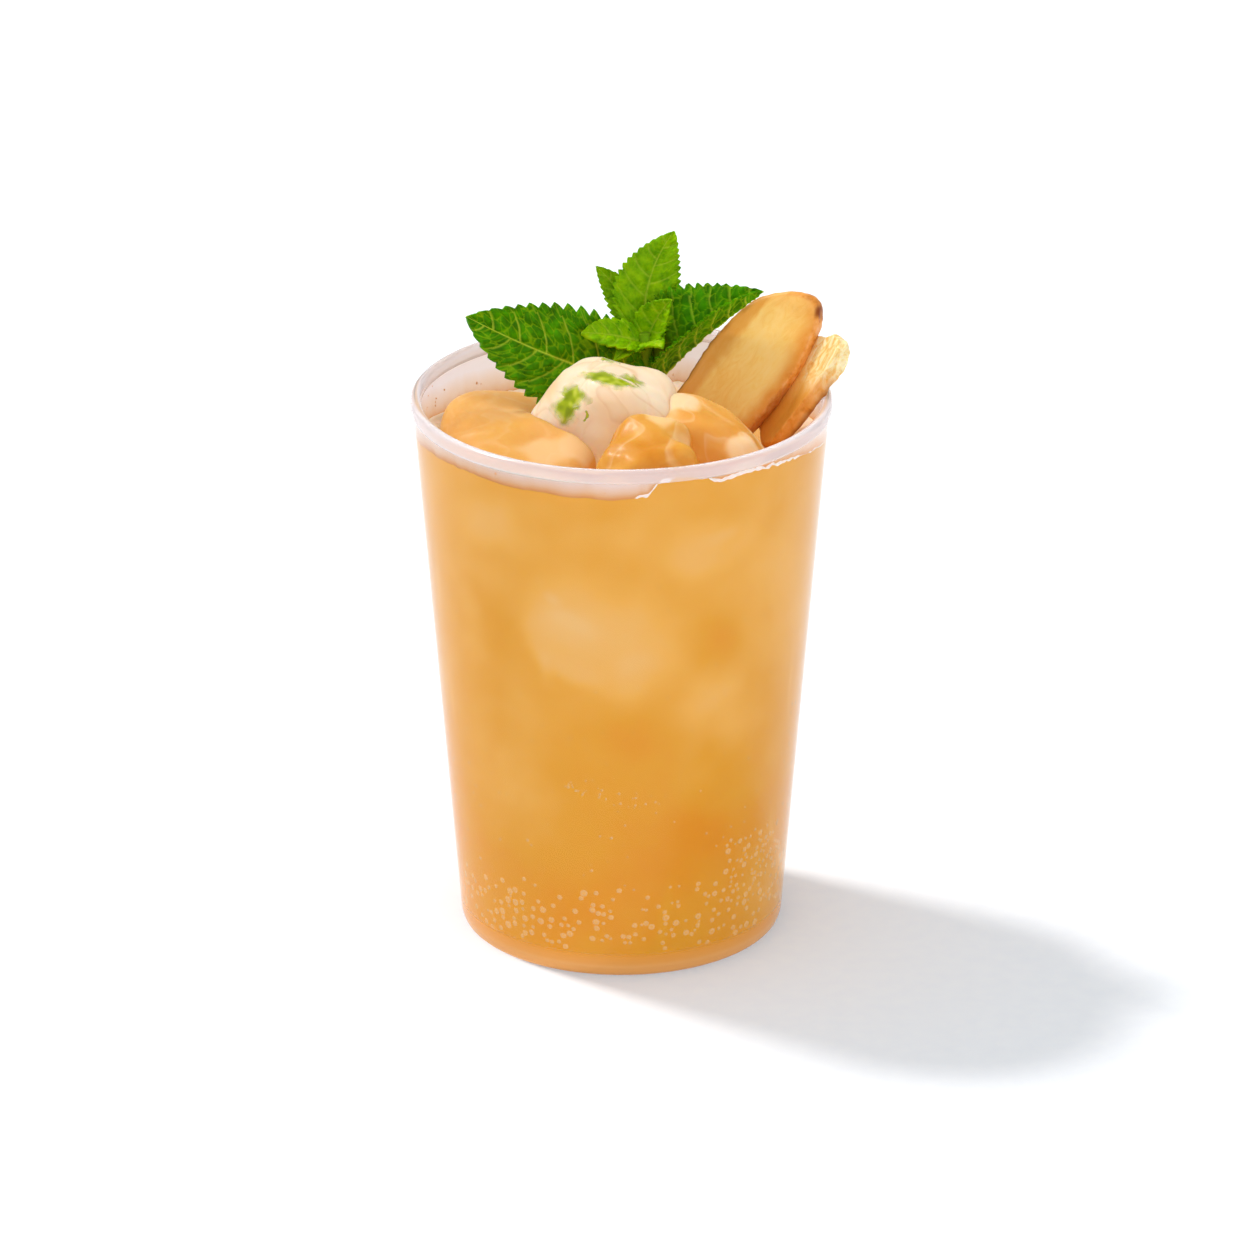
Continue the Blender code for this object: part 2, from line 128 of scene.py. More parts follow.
# Painted highlights, in the same terms: where sunk ice gleams, and pale streaks on the wall.
PAINTED_GLEAMS = [
    (-20, 89.5, 2.2, 1.4, -30, 1.0), (-13, 85.0, 6.0, 2.2, -22, 0.6), (3, 76.0, 5.0, 3.0, 25, 0.5),
    (-24, 73.0, 1.6, 5.0, 18, 0.7), (62.5, 28.0, 0.9, 4.5, 6, 0.8), (66, 60.0, 0.8, 10.0, 3, 0.6),
    (-70, 84.0, 0.9, 9.0, -3, 0.6), (-66, 55.0, 0.8, 8.0, 2, 0.5), (30, 103.0, 5.0, 1.8, 12, 0.5),
    (13.9, 14.0, 1.5, 11.0, 0, 0.5),
]

# Lumps of ice that stand out of the drink, as in the model; swells are (place, reach, rise).
BLOCKINESS = 3.4
Lump = namedtuple("Lump", "centre half turn uneven seed swells")
ICE = {
    "ice_centre": Lump(
        (-1.9, -7.0, 112.6), (16.5, 10.5, 15.5), (6, 38, 4), 1.6, 3.0,
        [((-16, -3, 117.5), 8, 4.0), ((-17, -16, 113), 9, -6.0), ((8, -4, 124), 5, 2.4),
         ((2, -18, 111), 8, 2.0), ((17, -2, 113), 9, -6.0), ((-13.5, 3.5, 116.5), 7, -5.5)],
    ),
    "ice_left": Lump(
        (-22.5, -3.5, 107.2), (15.5, 23.0, 10.5), (0, 4, 10), 1.0, 11.0,
        [((-13, -7, 113), 7, 3.5), ((-9, -13, 112), 6, 1.5), ((-8, -27, 108), 7, 1.5),
         ((-14, 3, 115.5), 6, -5.0), ((-20, -20, 118), 7, -1.6)],
    ),
    "ice_right": Lump(
        (18.0, -11.5, 109.6), (14.0, 10.0, 12.0), (0, 10, -14), 1.3, 23.0,
        [((10, -8, 118), 6, 2.5), ((30, -10, 117), 8, -3.0)],
    ),
    "ice_front": Lump(
        (7.1, -25.0, 111.0), (11.5, 9.5, 11.0), (6, -2, 8), 2.0, 31.0,
        [((3, -20, 121), 4, 1.8), ((18, -25, 119), 7, -3.5)],
    ),
}
# haze is how milky a lump is, patchy how much that varies, and flat how flat its facets are.
Look = namedtuple("Look", "haze patchy glass milk fold stain film films folds melt facets flat")
ICE_LOOK = {
    "ice_centre": Look(
        0.92, 0.12, "#FFF4E2", "#FBE4C6", "#EAC69C", "#EEC48A", "#DDB484", 0.4, 0.8, 0.7, 2, 0.25
    ),
    "ice_left": Look(
        0.88, 0.12, "#FFE9C6", "#E8AA54", "#F4CE9E", "#DF9C40", "#F6D4A4", 0.15, 0.2, 0.25, 0, 0.0
    ),
    "ice_right": Look(
        0.86, 0.15, "#FFE9C6", "#EFB45C", "#F9D6A8", "#E6A03A", "#FBDDB2", 0.3, 0.3, 0.4, 1, 0.2
    ),
    "ice_front": Look(
        0.84, 0.20, "#FFDC98", "#E2A23C", "#F4CA8C", "#D88A16", "#F8D29C", 0.4, 0.2, 0.30, 4, 0.45
    ),
}
# Where the drink's colour shows most through a lump, and where the lump is palest: the place, how far
# and how strongly.
AMBER_PLACES = {
    "ice_centre": [((-13.5, -4.0, 122.5), 4.0, 0.8), ((-0.3, -17.5, 123.5), 5.0, 0.4)],
    "ice_left": [((-34.0, -6.0, 112.0), 8.0, 0.7), ((-27.0, 8.0, 116.0), 6.0, 0.5)],
    "ice_right": [((16.6, -17.0, 121.9), 5.0, 0.8), ((23.0, -16.0, 120.0), 6.0, 0.9)],
    "ice_front": [((-1.5, -25.0, 119.0), 4.0, 0.8), ((6.0, -30.0, 118.5), 5.0, 0.9)],
}
PALE_PLACES = {
    "ice_left": [((-15.5, -19.5, 115.7), 5.5, 0.45), ((-9.5, -17.5, 116.0), 5.5, 0.6)],
    "ice_right": [
        ((12.5, -11.0, 123.0), 4.0, 0.9), ((26.5, -21.0, 115.5), 4.5, 0.8), ((31.5, -10.0, 113.0), 5.0, 0.6),
    ],
    "ice_front": [((8.1, -19.5, 123.2), 3.8, 0.9), ((13.0, -24.0, 120.5), 3.0, 0.5)],
}
# Bits of mint that show through the central lump: the (x, z) of a spine, seen from the photograph's
# side in the plane through the cup's axis, and half the width.
SUNK_MINT = [
    ([(-10.8, 123.3), (-10.1, 121.2), (-10.7, 119.4), (-11.8, 117.6), (-11.2, 115.7), (-9.6, 113.7)], 3.1),
    ([(-9.4, 125.3), (-4.6, 124.3), (-1.1, 123.4), (2.2, 123.0), (5.6, 122.4)], 1.75),
    ([(-4.6, 129.0), (-2.2, 128.6), (0.2, 128.3)], 0.9),
    ([(-8.0, 114.1), (-7.1, 115.5), (-7.5, 116.8)], 0.35),
]

# Ginger, as in the model: the outline of each slice's back face as (along, across), its place, the ways it
# runs and faces, its thickness, the share of its width that its front face keeps, and its bow.
GINGER = {
    "ginger_slice_front": (
        [(-15, 2), (-10, 8), (2, 9.4), (12, 10.4), (23, 9.2), (29.5, 4.8), (32.6, -0.2),
         (32.0, -3.4), (27.5, -6.4), (18, -9.0), (6, -9.6), (-6, -8.2), (-13, -3.5)],
        (20.4, 5.7, 114.4), (0.63, 0.21, 0.74), (-0.25, -0.85, 0.46), 4.2, 0.97, -0.8,
    ),
    "ginger_slice_back": (
        [(-17, 4), (-12, 10), (-2, 12), (6, 9.5), (8.8, 6), (9.4, 3.4), (11.2, 0.8),
         (10.6, -2.2), (8.8, -4.6), (5.5, -5.2), (2, -4.2), (-3, -3.5), (-11, -2), (-16, 0)],
        (42.2, 2.0, 122.2), (0.5, 0.25, 0.83), (-0.7, -0.42, 0.57), 3.2, 0.8, 0.4,
    ),
}

# Mint, as in the model: each leaf's base, tip, the way it faces, width, lean, arch, sway, fold in degrees,
# wave, teeth on a side, pairs of veins, and how young it is.
STEM_RADIUS = 1.3
STEM_FOOT = Vector((8.5, 15.0, 100.0))
LOW_NODE = Vector((6.4, 12.6, 117.5))
TOP_NODE = Vector((5.2, 11.6, 128.0))
STEM_END = Vector((5.0, 11.6, 130.5))
LEAF_THICKNESS = 0.45
LEAF_FULLNESS = 0.75
LEAF_BELLY = 0.86
LEAVES = {
    "leaf_left": (
        LOW_NODE, (-33.0, 4.5, 136.9), (0.0, -0.96, 0.28), 23.4, 0.07, 2.0, -1.1, 8, 1.0, 17, 7, 0.0
    ),
    "leaf_right": (
        LOW_NODE, (30.3, 8.6, 141.0), (-0.5, -0.33, 0.78), 23.0, -0.14, 1.0, 0.0, 58, 0.8, 20, 7, 0.0
    ),
    "leaf_top": (
        TOP_NODE, (11.3, 18.0, 151.3), (-0.1, -0.95, 0.3), 15.0, 0.0, -1.5, -2.7, 16, 0.6, 18, 6, 0.7
    ),
    "leaf_top_left": (
        TOP_NODE, (-5.4, 20.0, 142.6), (-0.2, -0.85, 0.5), 8.6, 0.0, -2.0, 1.2, 16, 0.6, 14, 5, 0.75
    ),
    "leaf_young_left": (
        TOP_NODE, (-8.4, 4.0, 133.4), (0.1, -0.6, 0.8), 9.0, 0.0, 1.0, 0.0, 14, 0.5, 9, 5, 0.85
    ),
    "leaf_young_centre": (
        TOP_NODE, (10.6, 8.0, 139.4), (-0.5, -0.85, 0.2), 9.0, 0.0, -0.8, -1.0, 30, 0.3, 9, 4, 0.8
    ),
    "leaf_young_front": (
        TOP_NODE, (8.6, 4.6, 129.8), (0.0, -0.5, 0.86), 6.0, 0.0, 0.8, 0.0, 10, 0.3, 7, 4, 0.95
    ),
    "leaf_bud": (
        TOP_NODE, (-1.6, 3.4, 127.4), (0.0, -0.6, 0.8), 4.6, 0.0, 0.8, 0.4, 24, 0.3, 6, 4, 1.0
    ),
}


def linear(colour):
    """A linear colour with alpha from sRGB hex."""
    shares = [int(colour[i : i + 2], 16) / 255 for i in (1, 3, 5)]
    return (*[s / 12.92 if s <= 0.04045 else ((s + 0.055) / 1.055) ** 2.4 for s in shares], 1.0)


def per_metre(size):
    """Scale of a pattern whose waves or cells are size millimetres long."""
    return 1 / (size * MM)


def add_node(tree, kind, inputs=None, stops=(), **settings):
    """A node with its settings, the stops of its ramp, and its inputs as values, sockets or nodes.

    A pattern that isn't told its place is laid out in the piece's own metres.
    """
    made = tree.nodes.new("ShaderNode" + kind)
    inputs = dict(inputs or {})
    if kind == "TexNoise" and "Vector" not in inputs:
        inputs["Vector"] = add_node(tree, "TexCoord").outputs["Object"]
    for key, value in settings.items():
        setattr(made, key, value)
    for key, value in inputs.items():
        if isinstance(value, bpy.types.Node):
            given = {"ShaderNodeMix": MIX_COLOUR, "ShaderNodeAttribute": "Fac"}.get(value.bl_idname, 0)
            value = value.outputs[given]
        if isinstance(value, bpy.types.NodeSocket):
            tree.links.new(value, made.inputs[key])
        else:
            made.inputs[key].default_value = value
    for i, (place, colour) in enumerate(stops):
        ramp = made.color_ramp.elements
        stop = ramp[i] if i < len(ramp) else ramp.new(place)
        stop.position = place
        stop.color = linear(colour) if isinstance(colour, str) else (*colour, 1.0)
    return made


def painted(tree, colour, *layers):
    """A colour under layers, each as the attribute or node that gives its share, and its own colour."""
    for share, over in layers:
        share = add_node(tree, "Attribute", attribute_name=share) if isinstance(share, str) else share
        over = linear(over) if isinstance(over, str) else over
        inputs = {MIX_SHARE: share, MIX_UNDER: colour, MIX_OVER: over}
        colour = add_node(tree, "Mix", inputs, data_type="RGBA")
    return colour


def ripples(tree, size, detail, strength, depth):
    """Relief of soft waves, size millimetres long and depth high at full strength."""
    waves = add_node(tree, "TexNoise", {"Scale": per_metre(size), "Detail": detail})
    return add_node(tree, "Bump", {"Strength": strength, "Distance": depth * MM, "Height": waves})


def new_material(name):
    """An empty material and its node tree."""
    made = bpy.data.materials.new(name)
    made.use_nodes = True
    made.node_tree.nodes.clear()
    return made, made.node_tree


def finished(made, shader, tint=None):
    """The material with its shader. With a tint, lamps and bounced light go straight through it, tinted."""
    tree = made.node_tree
    if tint:
        path = add_node(tree, "LightPath")
        either = add_node(
            tree, "Math", {0: path.outputs["Is Shadow Ray"], 1: path.outputs["Is Diffuse Ray"]},
            operation="MAXIMUM",
        )
        through = add_node(tree, "BsdfTransparent", {"Color": linear(tint)})
        shader = add_node(tree, "MixShader", {0: either, 1: shader, 2: through})
    add_node(tree, "OutputMaterial", {0: shader})
    return made


def smoothstep(low, high, value):
    """A smooth rise from 0 at low to 1 at high."""
    share = np.clip((value - low) / (high - low), 0.0, 1.0)
    return share * share * (3 - 2 * share)


def noise_of(x, y, z):
    """Soft noise from about -1 to 1 at one place."""
    return noise.noise(Vector((x, y, z)))


def noise_at(points, size, seed=0.0):
    """Soft noise from about -1 to 1 at points in millimetres, its waves about size long."""
    shift = Vector((seed, 1.7 * seed, -seed))
    return np.array([noise.noise(Vector(point) / size + shift) for point in points])


def closed_grid(rings, first_pole=None, last_pole=None):
    """Points and faces of a skin over closed rings, each of equally many points."""
    count = len(rings[0])
    points = [p for ring in rings for p in ring]
    faces = []
    for k in range(len(rings) - 1):
        low, high = k * count, (k + 1) * count
        faces += [(low + i, low + (i + 1) % count, high + (i + 1) % count, high + i) for i in range(count)]
    for pole, ring in ((first_pole, 0), (last_pole, (len(rings) - 1) * count)):
        if pole is not None:
            points.append(pole)
            faces += [(len(points) - 1, ring + i, ring + (i + 1) % count) for i in range(count)]
    return np.array(points, float), faces


def joined(parts):
    """Several skins, each as its points and faces, as one."""
    points, faces = [], []
    for spots, sides in parts:
        faces += [tuple(len(points) + i for i in side) for side in sides]
        points += [tuple(spot) for spot in spots]
    return points, faces


def add_piece(name, points, faces, finishes, slot, nodes=(), values=None, face_finish=None, sharp=40):
    """A piece of the drink from points in millimetres, its faces turned outwards.

    values are numbers at its points that the finish reads, and nodes the parts of the model it replaces.
    """
    old = bpy.data.objects.get(name)
    if old:
        bpy.data.objects.remove(old, do_unlink=True)
    mesh = bpy.data.meshes.new(name)
    mesh.from_pydata((np.asarray(points, float) * MM).tolist(), [], faces)
    if face_finish is not None:
        mesh.polygons.foreach_set("material_index", np.asarray(face_finish, np.int32))
    for key, array in (values or {}).items():
        layer = mesh.attributes.new(key, "FLOAT", "POINT")
        layer.data.foreach_set("value", np.asarray(array, np.float32))
    shape = bmesh.new()
    shape.from_mesh(mesh)
    bmesh.ops.recalc_face_normals(shape, faces=shape.faces)
    shape.to_mesh(mesh)
    shape.free()
    for finish in finishes:
        mesh.materials.append(finish)
    mesh.shade_smooth()
    mesh.set_sharp_from_angle(angle=math.radians(sharp))
    piece = bpy.data.objects.new(name, mesh)
    bpy.context.scene.collection.objects.link(piece)
    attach(piece, BODY)
    if nodes:
        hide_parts(*nodes)
    return piece


def smooth_curve(corners, steps, closed=False):
    """Points on a smooth curve through the corners."""
    found = []
    count = len(corners)
    for i in range(count if closed else count - 1):
        near = [i + k for k in (-1, 0, 1, 2)]
        near = [k % count if closed else min(max(k, 0), count - 1) for k in near]
        a, b, c, d = (Vector(corners[k]) for k in near)
        square = 2 * a - 5 * b + 4 * c - d
        cube = 3 * b - a - 3 * c + d
        for step in range(steps):
            t = step / steps
            found.append(b + 0.5 * ((c - a) * t + square * t**2 + cube * t**3))
    return found if closed else found + [corners[-1]]


def full_turn(count):
    """Angles of a full turn in equal steps."""
    return [2 * math.pi * k / count for k in range(count)]


def heading(line, i):
    """The way that a line of points runs at one of them."""
    return (line[min(i + 1, len(line) - 1)] - line[max(i - 1, 0)]).normalized()


def arc(radius, height, bend, start, end, steps):
    """Points of an arc in a section, its angles in degrees from outwards towards up."""
    turns = [math.radians(start + (end - start) * i / steps) for i in range(steps + 1)]
    return [(radius + bend * math.cos(t), height + bend * math.sin(t)) for t in turns]


def wall_radius(height):
    """Outer radius of the cup's straight wall."""
    return BASE_RADIUS + WALL_SLOPE * height


def round_cup(angle, radius, height):
    """The point at an angle in degrees from the front."""
    turn = np.radians(angle)
    return np.stack([radius * np.sin(turn), -radius * np.cos(turn), height + 0 * turn], axis=-1)


def wet_edge(angle):
    """Height at which the wet sheet on the wall ends."""
    keys, heights = np.array(WET_EDGE, float).T
    place = np.clip(np.searchsorted(keys, angle, side="right") - 1, 0, len(keys) - 2)
    share = smoothstep(0, 1, (angle - keys[place]) / (keys[place + 1] - keys[place]))
    height = heights[place] * (1 - share) + heights[place + 1] * share
    on_wall = round_cup(angle, 1.0, 0.0)
    wobble = 0.35 * noise_at(on_wall, 0.11) + 0.3 * noise_at(on_wall, 0.035, 5.0)
    return np.minimum(height + wobble, SHEET_HEIGHT_MOST)


def patch(angle, height, middle, level, half_width, half_height, turn, edge, crisp=0.0):
    """1 inside an oval patch of the wall and 0 outside, its border edge times its size wide.

    crisp narrows the border towards the lower left by up to that share.
    """
    squareness = 2.3
    across = np.radians((angle - middle + 180) % 360 - 180) * wall_radius(level)
    up = height - level
    tilt = math.radians(turn)
    u = (across * math.cos(tilt) + up * math.sin(tilt)) / half_width
    v = (up * math.cos(tilt) - across * math.sin(tilt)) / half_height
    away = (np.abs(u) ** squareness + np.abs(v) ** squareness) ** (1 / squareness)
    edge = edge * (1 - crisp * smoothstep(0.2, 0.9, -(u + v) / np.maximum(away, 0.01) / math.sqrt(2)))
    return 1 - smoothstep(1 - edge, 1 + 0.35 * edge, away)


# Cup

CLEAR, MISTED, MILKY, FOOT = 0, 1, 2, 3
MIST_RISE = 7.0  # the drink's colour on the wall fades to clean mist over this height
CUP_TINT = "#FDFBFA"


def clear_plastic(settings):
    """Clear polypropylene, injection moulded: glossy, and a little milky in its body."""
    made, tree = new_material("clear_polypropylene")
    plastic = add_node(tree, "BsdfPrincipled", {
        "Base Color": (*settings.colour, 1.0), "Roughness": 0.03, "IOR": 1.36, "Specular IOR Level": 0.15,
        "Transmission Weight": 1.0 - settings.haze, "Normal": ripples(tree, 14, 1.0, 0.05, 0.3),
    })
    return finished(made, plastic, CUP_TINT)


def milky_plastic():
    """The lip, where the plastic is thick enough to look milky and pinkish white."""
    made, tree = new_material("milky_polypropylene")
    plastic = add_node(tree, "BsdfPrincipled", {
        "Base Color": linear("#F6ECEC"), "Roughness": 0.2, "IOR": 1.45, "Transmission Weight": 0.6,
    })
    return finished(made, plastic, "#F4EFEF")


def foot_plastic(settings):
    """The foot under the drink: the drink's colour, as seen through its thick plastic, is painted on it down
    to the table, with a painted bright line of light at its lower edge.
    """
    made, tree = new_material("polypropylene_foot")
    rise = add_node(tree, "Attribute", attribute_name="rise")
    # Painted: the drink's colour seen through the plastic, with a painted bright line of light near the
    # bottom.
    tone = add_node(tree, "ValToRGB", {0: rise}, stops=[
        (0.0, "#DE8834"), (0.05, "#F49C34"), (0.09, "#E6A056"), (0.42, "#E4A258"), (0.54, "#E29A46"),
        (0.78, "#E29638"),
    ])
    coloured = add_node(tree, "BsdfPrincipled", {"Base Color": tone, "Roughness": 0.15, "IOR": 1.4})
    clear = add_node(tree, "BsdfPrincipled", {
        "Base Color": (*settings.colour, 1.0), "Roughness": 0.03, "IOR": 1.4, "Transmission Weight": 1.0,
    })
    fade = add_node(tree, "MapRange", {0: rise, 1: 0.76, 2: 0.96, 3: 0.0, 4: 1.0})
    return finished(made, add_node(tree, "MixShader", {0: fade, 1: coloured, 2: clear}), CUP_TINT)


def misted_plastic(settings):
    """The same wall with mist and froth dried on its inside: whitish, and tinted where the drink ran."""
    made, tree = new_material("misted_polypropylene")
    above = add_node(tree, "Attribute", attribute_name="above")
    blotch = add_node(tree, "TexNoise", {"Scale": per_metre(6), "Detail": 3.0, "Roughness": 0.6})
    shifted = add_node(tree, "Math", {0: blotch, 1: 0.25, 2: above}, operation="MULTIPLY_ADD")
    tint = add_node(tree, "ValToRGB", {0: shifted}, stops=[
        (0.10, "#E39A4E"), (0.28, "#EAB883"), (0.50, "#F2D2B4"), (0.78, "#F8E4D8"), (1.0, "#FCF2F2"),
    ])
    mist = add_node(tree, "BsdfDiffuse", {"Color": tint})
    glow = add_node(tree, "BsdfTranslucent", {"Color": tint})
    milky = add_node(tree, "MixShader", {0: 0.4, 1: mist, 2: glow})
    gap = add_node(tree, "BsdfPrincipled", {
        "Base Color": (*settings.colour, 1.0), "Roughness": 0.25, "IOR": 1.49, "Transmission Weight": 1.0,
    })
    return finished(made, add_node(tree, "MixShader", {0: 0.88, 1: gap, 2: milky}), "#EDE6E4")


def cup_section():
    """(radius, height, finish) of the cup's section, under the floor, up outside, and down inside."""
    foot = BASE_RADIUS - FOOT_CORNER
    ring = foot - FOOT_WIDTH
    bead = LIP_WIDTH / 2
    under_lip = CUP_HEIGHT - LIP_HEIGHT
    inner_corner = wall_radius(FLOOR_HEIGHT) - WALL - FLOOR_CORNER
    below = [(ring - 6, RECESS_DEPTH), (ring - 0.9, RECESS_DEPTH), (ring - 0.4, RECESS_DEPTH - 0.4)]
    below += [(ring - 0.1, 0.3), (ring + 0.2, 0.0), (foot, 0.0)]
    below += arc(foot, FOOT_CORNER, FOOT_CORNER, -80, -5, 8)
    below += [(wall_radius(z), z) for z in np.linspace(FOOT_CORNER + 0.4, FOOT_TOP - 0.3, 12)]
    outside = [(wall_radius(z), z) for z in np.linspace(FOOT_TOP, under_lip - 0.2, 90)]
    lip = [(WALL_TOP_RADIUS + 0.2, under_lip), (RIM_RADIUS - 0.15, under_lip + 0.3)]
    lip += [(RIM_RADIUS - 0.05, under_lip + 0.6)]
    lip += [(RIM_RADIUS, z) for z in (under_lip + 0.9, CUP_HEIGHT - bead - 0.2)]
    lip += arc(RIM_RADIUS - bead, CUP_HEIGHT - bead, bead, 0, 180, 14)
    lip += [(RIM_RADIUS - LIP_WIDTH, under_lip + 0.6)]
    inside = [(wall_radius(under_lip) - WALL - 0.1, under_lip)]
    for start, end, count in ((under_lip - 0.6, 100, 40), (95, FLOOR_HEIGHT + FLOOR_CORNER + 1, 12)):
        inside += [(wall_radius(z) - WALL, z) for z in np.linspace(start, end, count)]
    inside += arc(inner_corner, FLOOR_HEIGHT + FLOOR_CORNER, FLOOR_CORNER, 0, -90, 8)
    inside += [(inner_corner - 8, FLOOR_HEIGHT)]
    parts = ((below, FOOT), (outside, CLEAR), (lip, MILKY), (inside, MISTED))
    return [(*point, finish) for section, finish in parts for point in section]


def make_cup(settings):
    section = cup_section()
    angles = np.arange(CUP_SIDES) * 360 / CUP_SIDES - 180
    rings = [round_cup(angles, radius, height) for radius, height, _ in section]
    points, faces = closed_grid(rings, (0, 0, RECESS_DEPTH), (0, 0, FLOOR_HEIGHT))
    to_front = smoothstep(-0.2, 0.6, np.cos(np.radians(angles)))
    edge = wet_edge(angles)
    above = [(height - edge) / (MIST_RISE * (1 - 0.45 * to_front)) for _, height, _ in section]
    above = np.append(np.clip(np.concatenate(above), 0, 1), (0, 0))
    rise = np.clip(points[:, 2] / FOOT_TOP, 0, 1)
    finish = np.repeat([part for _, _, part in section[:-1]], CUP_SIDES).tolist()
    finish += [FOOT] * CUP_SIDES + [MISTED] * CUP_SIDES
    finishes = [clear_plastic(settings), misted_plastic(settings), milky_plastic(), foot_plastic(settings)]
    add_piece(
        "cup_wall", points, faces, finishes, "clear_plastic", nodes=["cup"],
        values={"above": above, "rise": rise}, face_finish=finish,
    )


# Drink

DRINK_CORNER = 0.25
SIDE_ROWS = 200
SURFACE_RINGS = 46
SURFACE_PALENESS = 0.62
LOWEST_ICE = 92.0
# The gleams are painted highlights, and the long deep band on the left is painted shade.
ICE_PALER, DRINK_DEEPER, PAINTED_GLEAM_PALER = 0.42, 0.24, 0.22  # how much each patch of the wall changes
DRINK_GLOW = (1.0, 0.45, 0.12)  # how far red, green and blue light spread in it


def drink_tone(tree, settings):
    """Colour of the cloudy drink: the paler, the less of it lies before the ice or the light."""
    pale = add_node(tree, "Attribute", attribute_name="pale")
    cloud = add_node(tree, "TexNoise", {"Scale": per_metre(8), "Detail": 3.0, "Roughness": 0.5})
    stirred = add_node(tree, "Math", {0: cloud, 1: 0.18, 2: pale}, operation="MULTIPLY_ADD")
    tones = (settings.deep, settings.middle, settings.light, settings.pale)
    return add_node(tree, "ValToRGB", {0: stirred}, stops=zip((0.10, 0.36, 0.62, 1.0), tones))


def drink_at_wall(settings):
    """Cloudy ginger drink against the wall: starch and pulp scatter light in it, so that it glows."""
    made, tree = new_material("ginger_drink_at_wall")
    drink = add_node(tree, "BsdfPrincipled", {
        "Base Color": drink_tone(tree, settings), "Roughness": 0.6, "IOR": 1.34, "Specular IOR Level": 0.0,
        "Subsurface Weight": 0.15, "Subsurface Radius": DRINK_GLOW, "Subsurface Scale": 3 * MM,
    })
    return finished(made, drink)


def drink_surface(settings):
    """The wet surface of the same drink, between the lumps of ice."""
    made, tree = new_material("ginger_drink_surface")
    drink = add_node(tree, "BsdfPrincipled", {
        # Pale foam near the wall: real foam, laid on more at the back, where it is also painted light that
        # lifts the shade.
        "Base Color": painted(tree, drink_tone(tree, settings), ("foam_and_painted_light", "#F2DCC4")),
        "Roughness": 0.08, "IOR": 1.34, "Subsurface Weight": 0.2, "Subsurface Radius": DRINK_GLOW,
        "Subsurface Scale": 3 * MM, "Normal": ripples(tree, 4, 2.0, 0.2, 0.3),
    })
    return finished(made, drink)


def ice_bottom(x, y):
    """Height at which the core of the lowest ice begins at each place, or infinity."""
    found = np.full(x.shape, np.inf)
    for lump in ICE.values():
        turned = np.array(turn_matrix(lump.turn))
        for height in np.arange(LOWEST_ICE, LEVEL + 10, 0.5):
            spot = np.stack([x, y, np.full(x.shape, height)], axis=-1)
            away = spot - np.array(lump.centre)
            local = away @ turned / (np.array(lump.half) - INTO_ICE)
            share = (np.abs(local) ** BLOCKINESS).sum(axis=-1) ** (1 / BLOCKINESS)
            push = np.zeros(x.shape)
            for place, reach, rise in lump.swells:
                push += rise * np.exp(-((np.linalg.norm(spot - np.array(place), axis=-1) / reach) ** 2))
            inside = np.linalg.norm(away, axis=-1) * (1 - 1 / np.maximum(share, 0.01)) < push
            found = np.where(inside & (found > height), height, found)
    return found


def surface_height(angle, inset):
    """Height of the drink's surface this far in from the wall: it creeps up the wall, most in front."""
    turn = np.radians(angle)
    to_front = smoothstep(-0.5, 0.25, np.cos(turn))
    ripple = 1.3 * noise_at(np.stack([1.9 * np.sin(turn), -1.9 * np.cos(turn), 0 * turn + 0.7], axis=-1), 1)
    creep = BACK_CREEP + FRONT_CREEP * to_front + ripple
    return LEVEL + creep * (1 - smoothstep(0, CREEP_WIDTH, inset))


def make_drink(settings):
    angles = np.arange(CUP_SIDES) * 360 / CUP_SIDES - 180
    edge = wet_edge(angles)
    floor = FLOOR_HEIGHT - INTO_WALL
    corner = wall_radius(FLOOR_HEIGHT) - WALL - DRINK_CORNER
    section = arc(corner, FLOOR_HEIGHT + DRINK_CORNER, DRINK_CORNER + INTO_WALL, -90, 0, 8)
    rings = [round_cup(angles, radius, height) for radius, height in [(corner - 12, floor)] + section]
    low = FLOOR_HEIGHT + DRINK_CORNER + 0.3
    for row in range(SIDE_ROWS + 1):
        height = low + (edge - low) * row / SIDE_ROWS
        rings.append(round_cup(angles, wall_radius(height) - WALL + INTO_WALL, height))
    side_end = len(rings)
    inner = wall_radius(LEVEL) - WALL
    for inset, drop in ((0.15, 0.1), (0.5, 0.5)):
        rings.append(round_cup(angles, wall_radius(edge) - WALL - inset, edge - drop))
    below_edge = edge - 0.6 - 0.6 * smoothstep(-0.2, 0.6, np.cos(np.radians(angles)))
    for ring in range(SURFACE_RINGS):
        inset = 1.0 + (inner - 1.5) * (ring / SURFACE_RINGS) ** 1.15
        height = np.minimum(surface_height(angles, inset), below_edge)
        flat = round_cup(angles, inner - inset, 0.0)
        height = np.minimum(height, ice_bottom(flat[:, 0], flat[:, 1]) - 0.3)
        rings.append(round_cup(angles, inner - inset, height))
    points, faces = closed_grid(rings, (0, 0, floor), (0, 0, float(rings[-1][:, 2].mean())))
    side = np.arange(len(points)) < side_end * CUP_SIDES
    pale = np.where(side, wall_paleness(points), SURFACE_PALENESS)
    inset = inner - np.hypot(points[:, 0], points[:, 1])
    front = smoothstep(-0.3, 0.3, -points[:, 1] / inner)
    # Foam near the wall, heavier at the back, where it also works as painted light over the shaded surface.
    foam_and_painted_light = np.where(side, 0.0, (1 - smoothstep(0.5, 7.0, inset)) * (1 - 0.6 * front))
    foam_and_painted_light = np.clip(foam_and_painted_light + 0.25 * foam_and_painted_light * noise_at(points, 2.5, 6.0), 0, 1)
    finish = [int(max(face) >= side_end * CUP_SIDES) for face in faces]
    finish[-2 * CUP_SIDES : -CUP_SIDES] = [0] * CUP_SIDES
    add_piece(
        "drink_body", points, faces, [drink_at_wall(settings), drink_surface(settings)], "drink",
        nodes=["drink"], values={"pale": pale, "foam_and_painted_light": foam_and_painted_light}, face_finish=finish, sharp=60,
    )


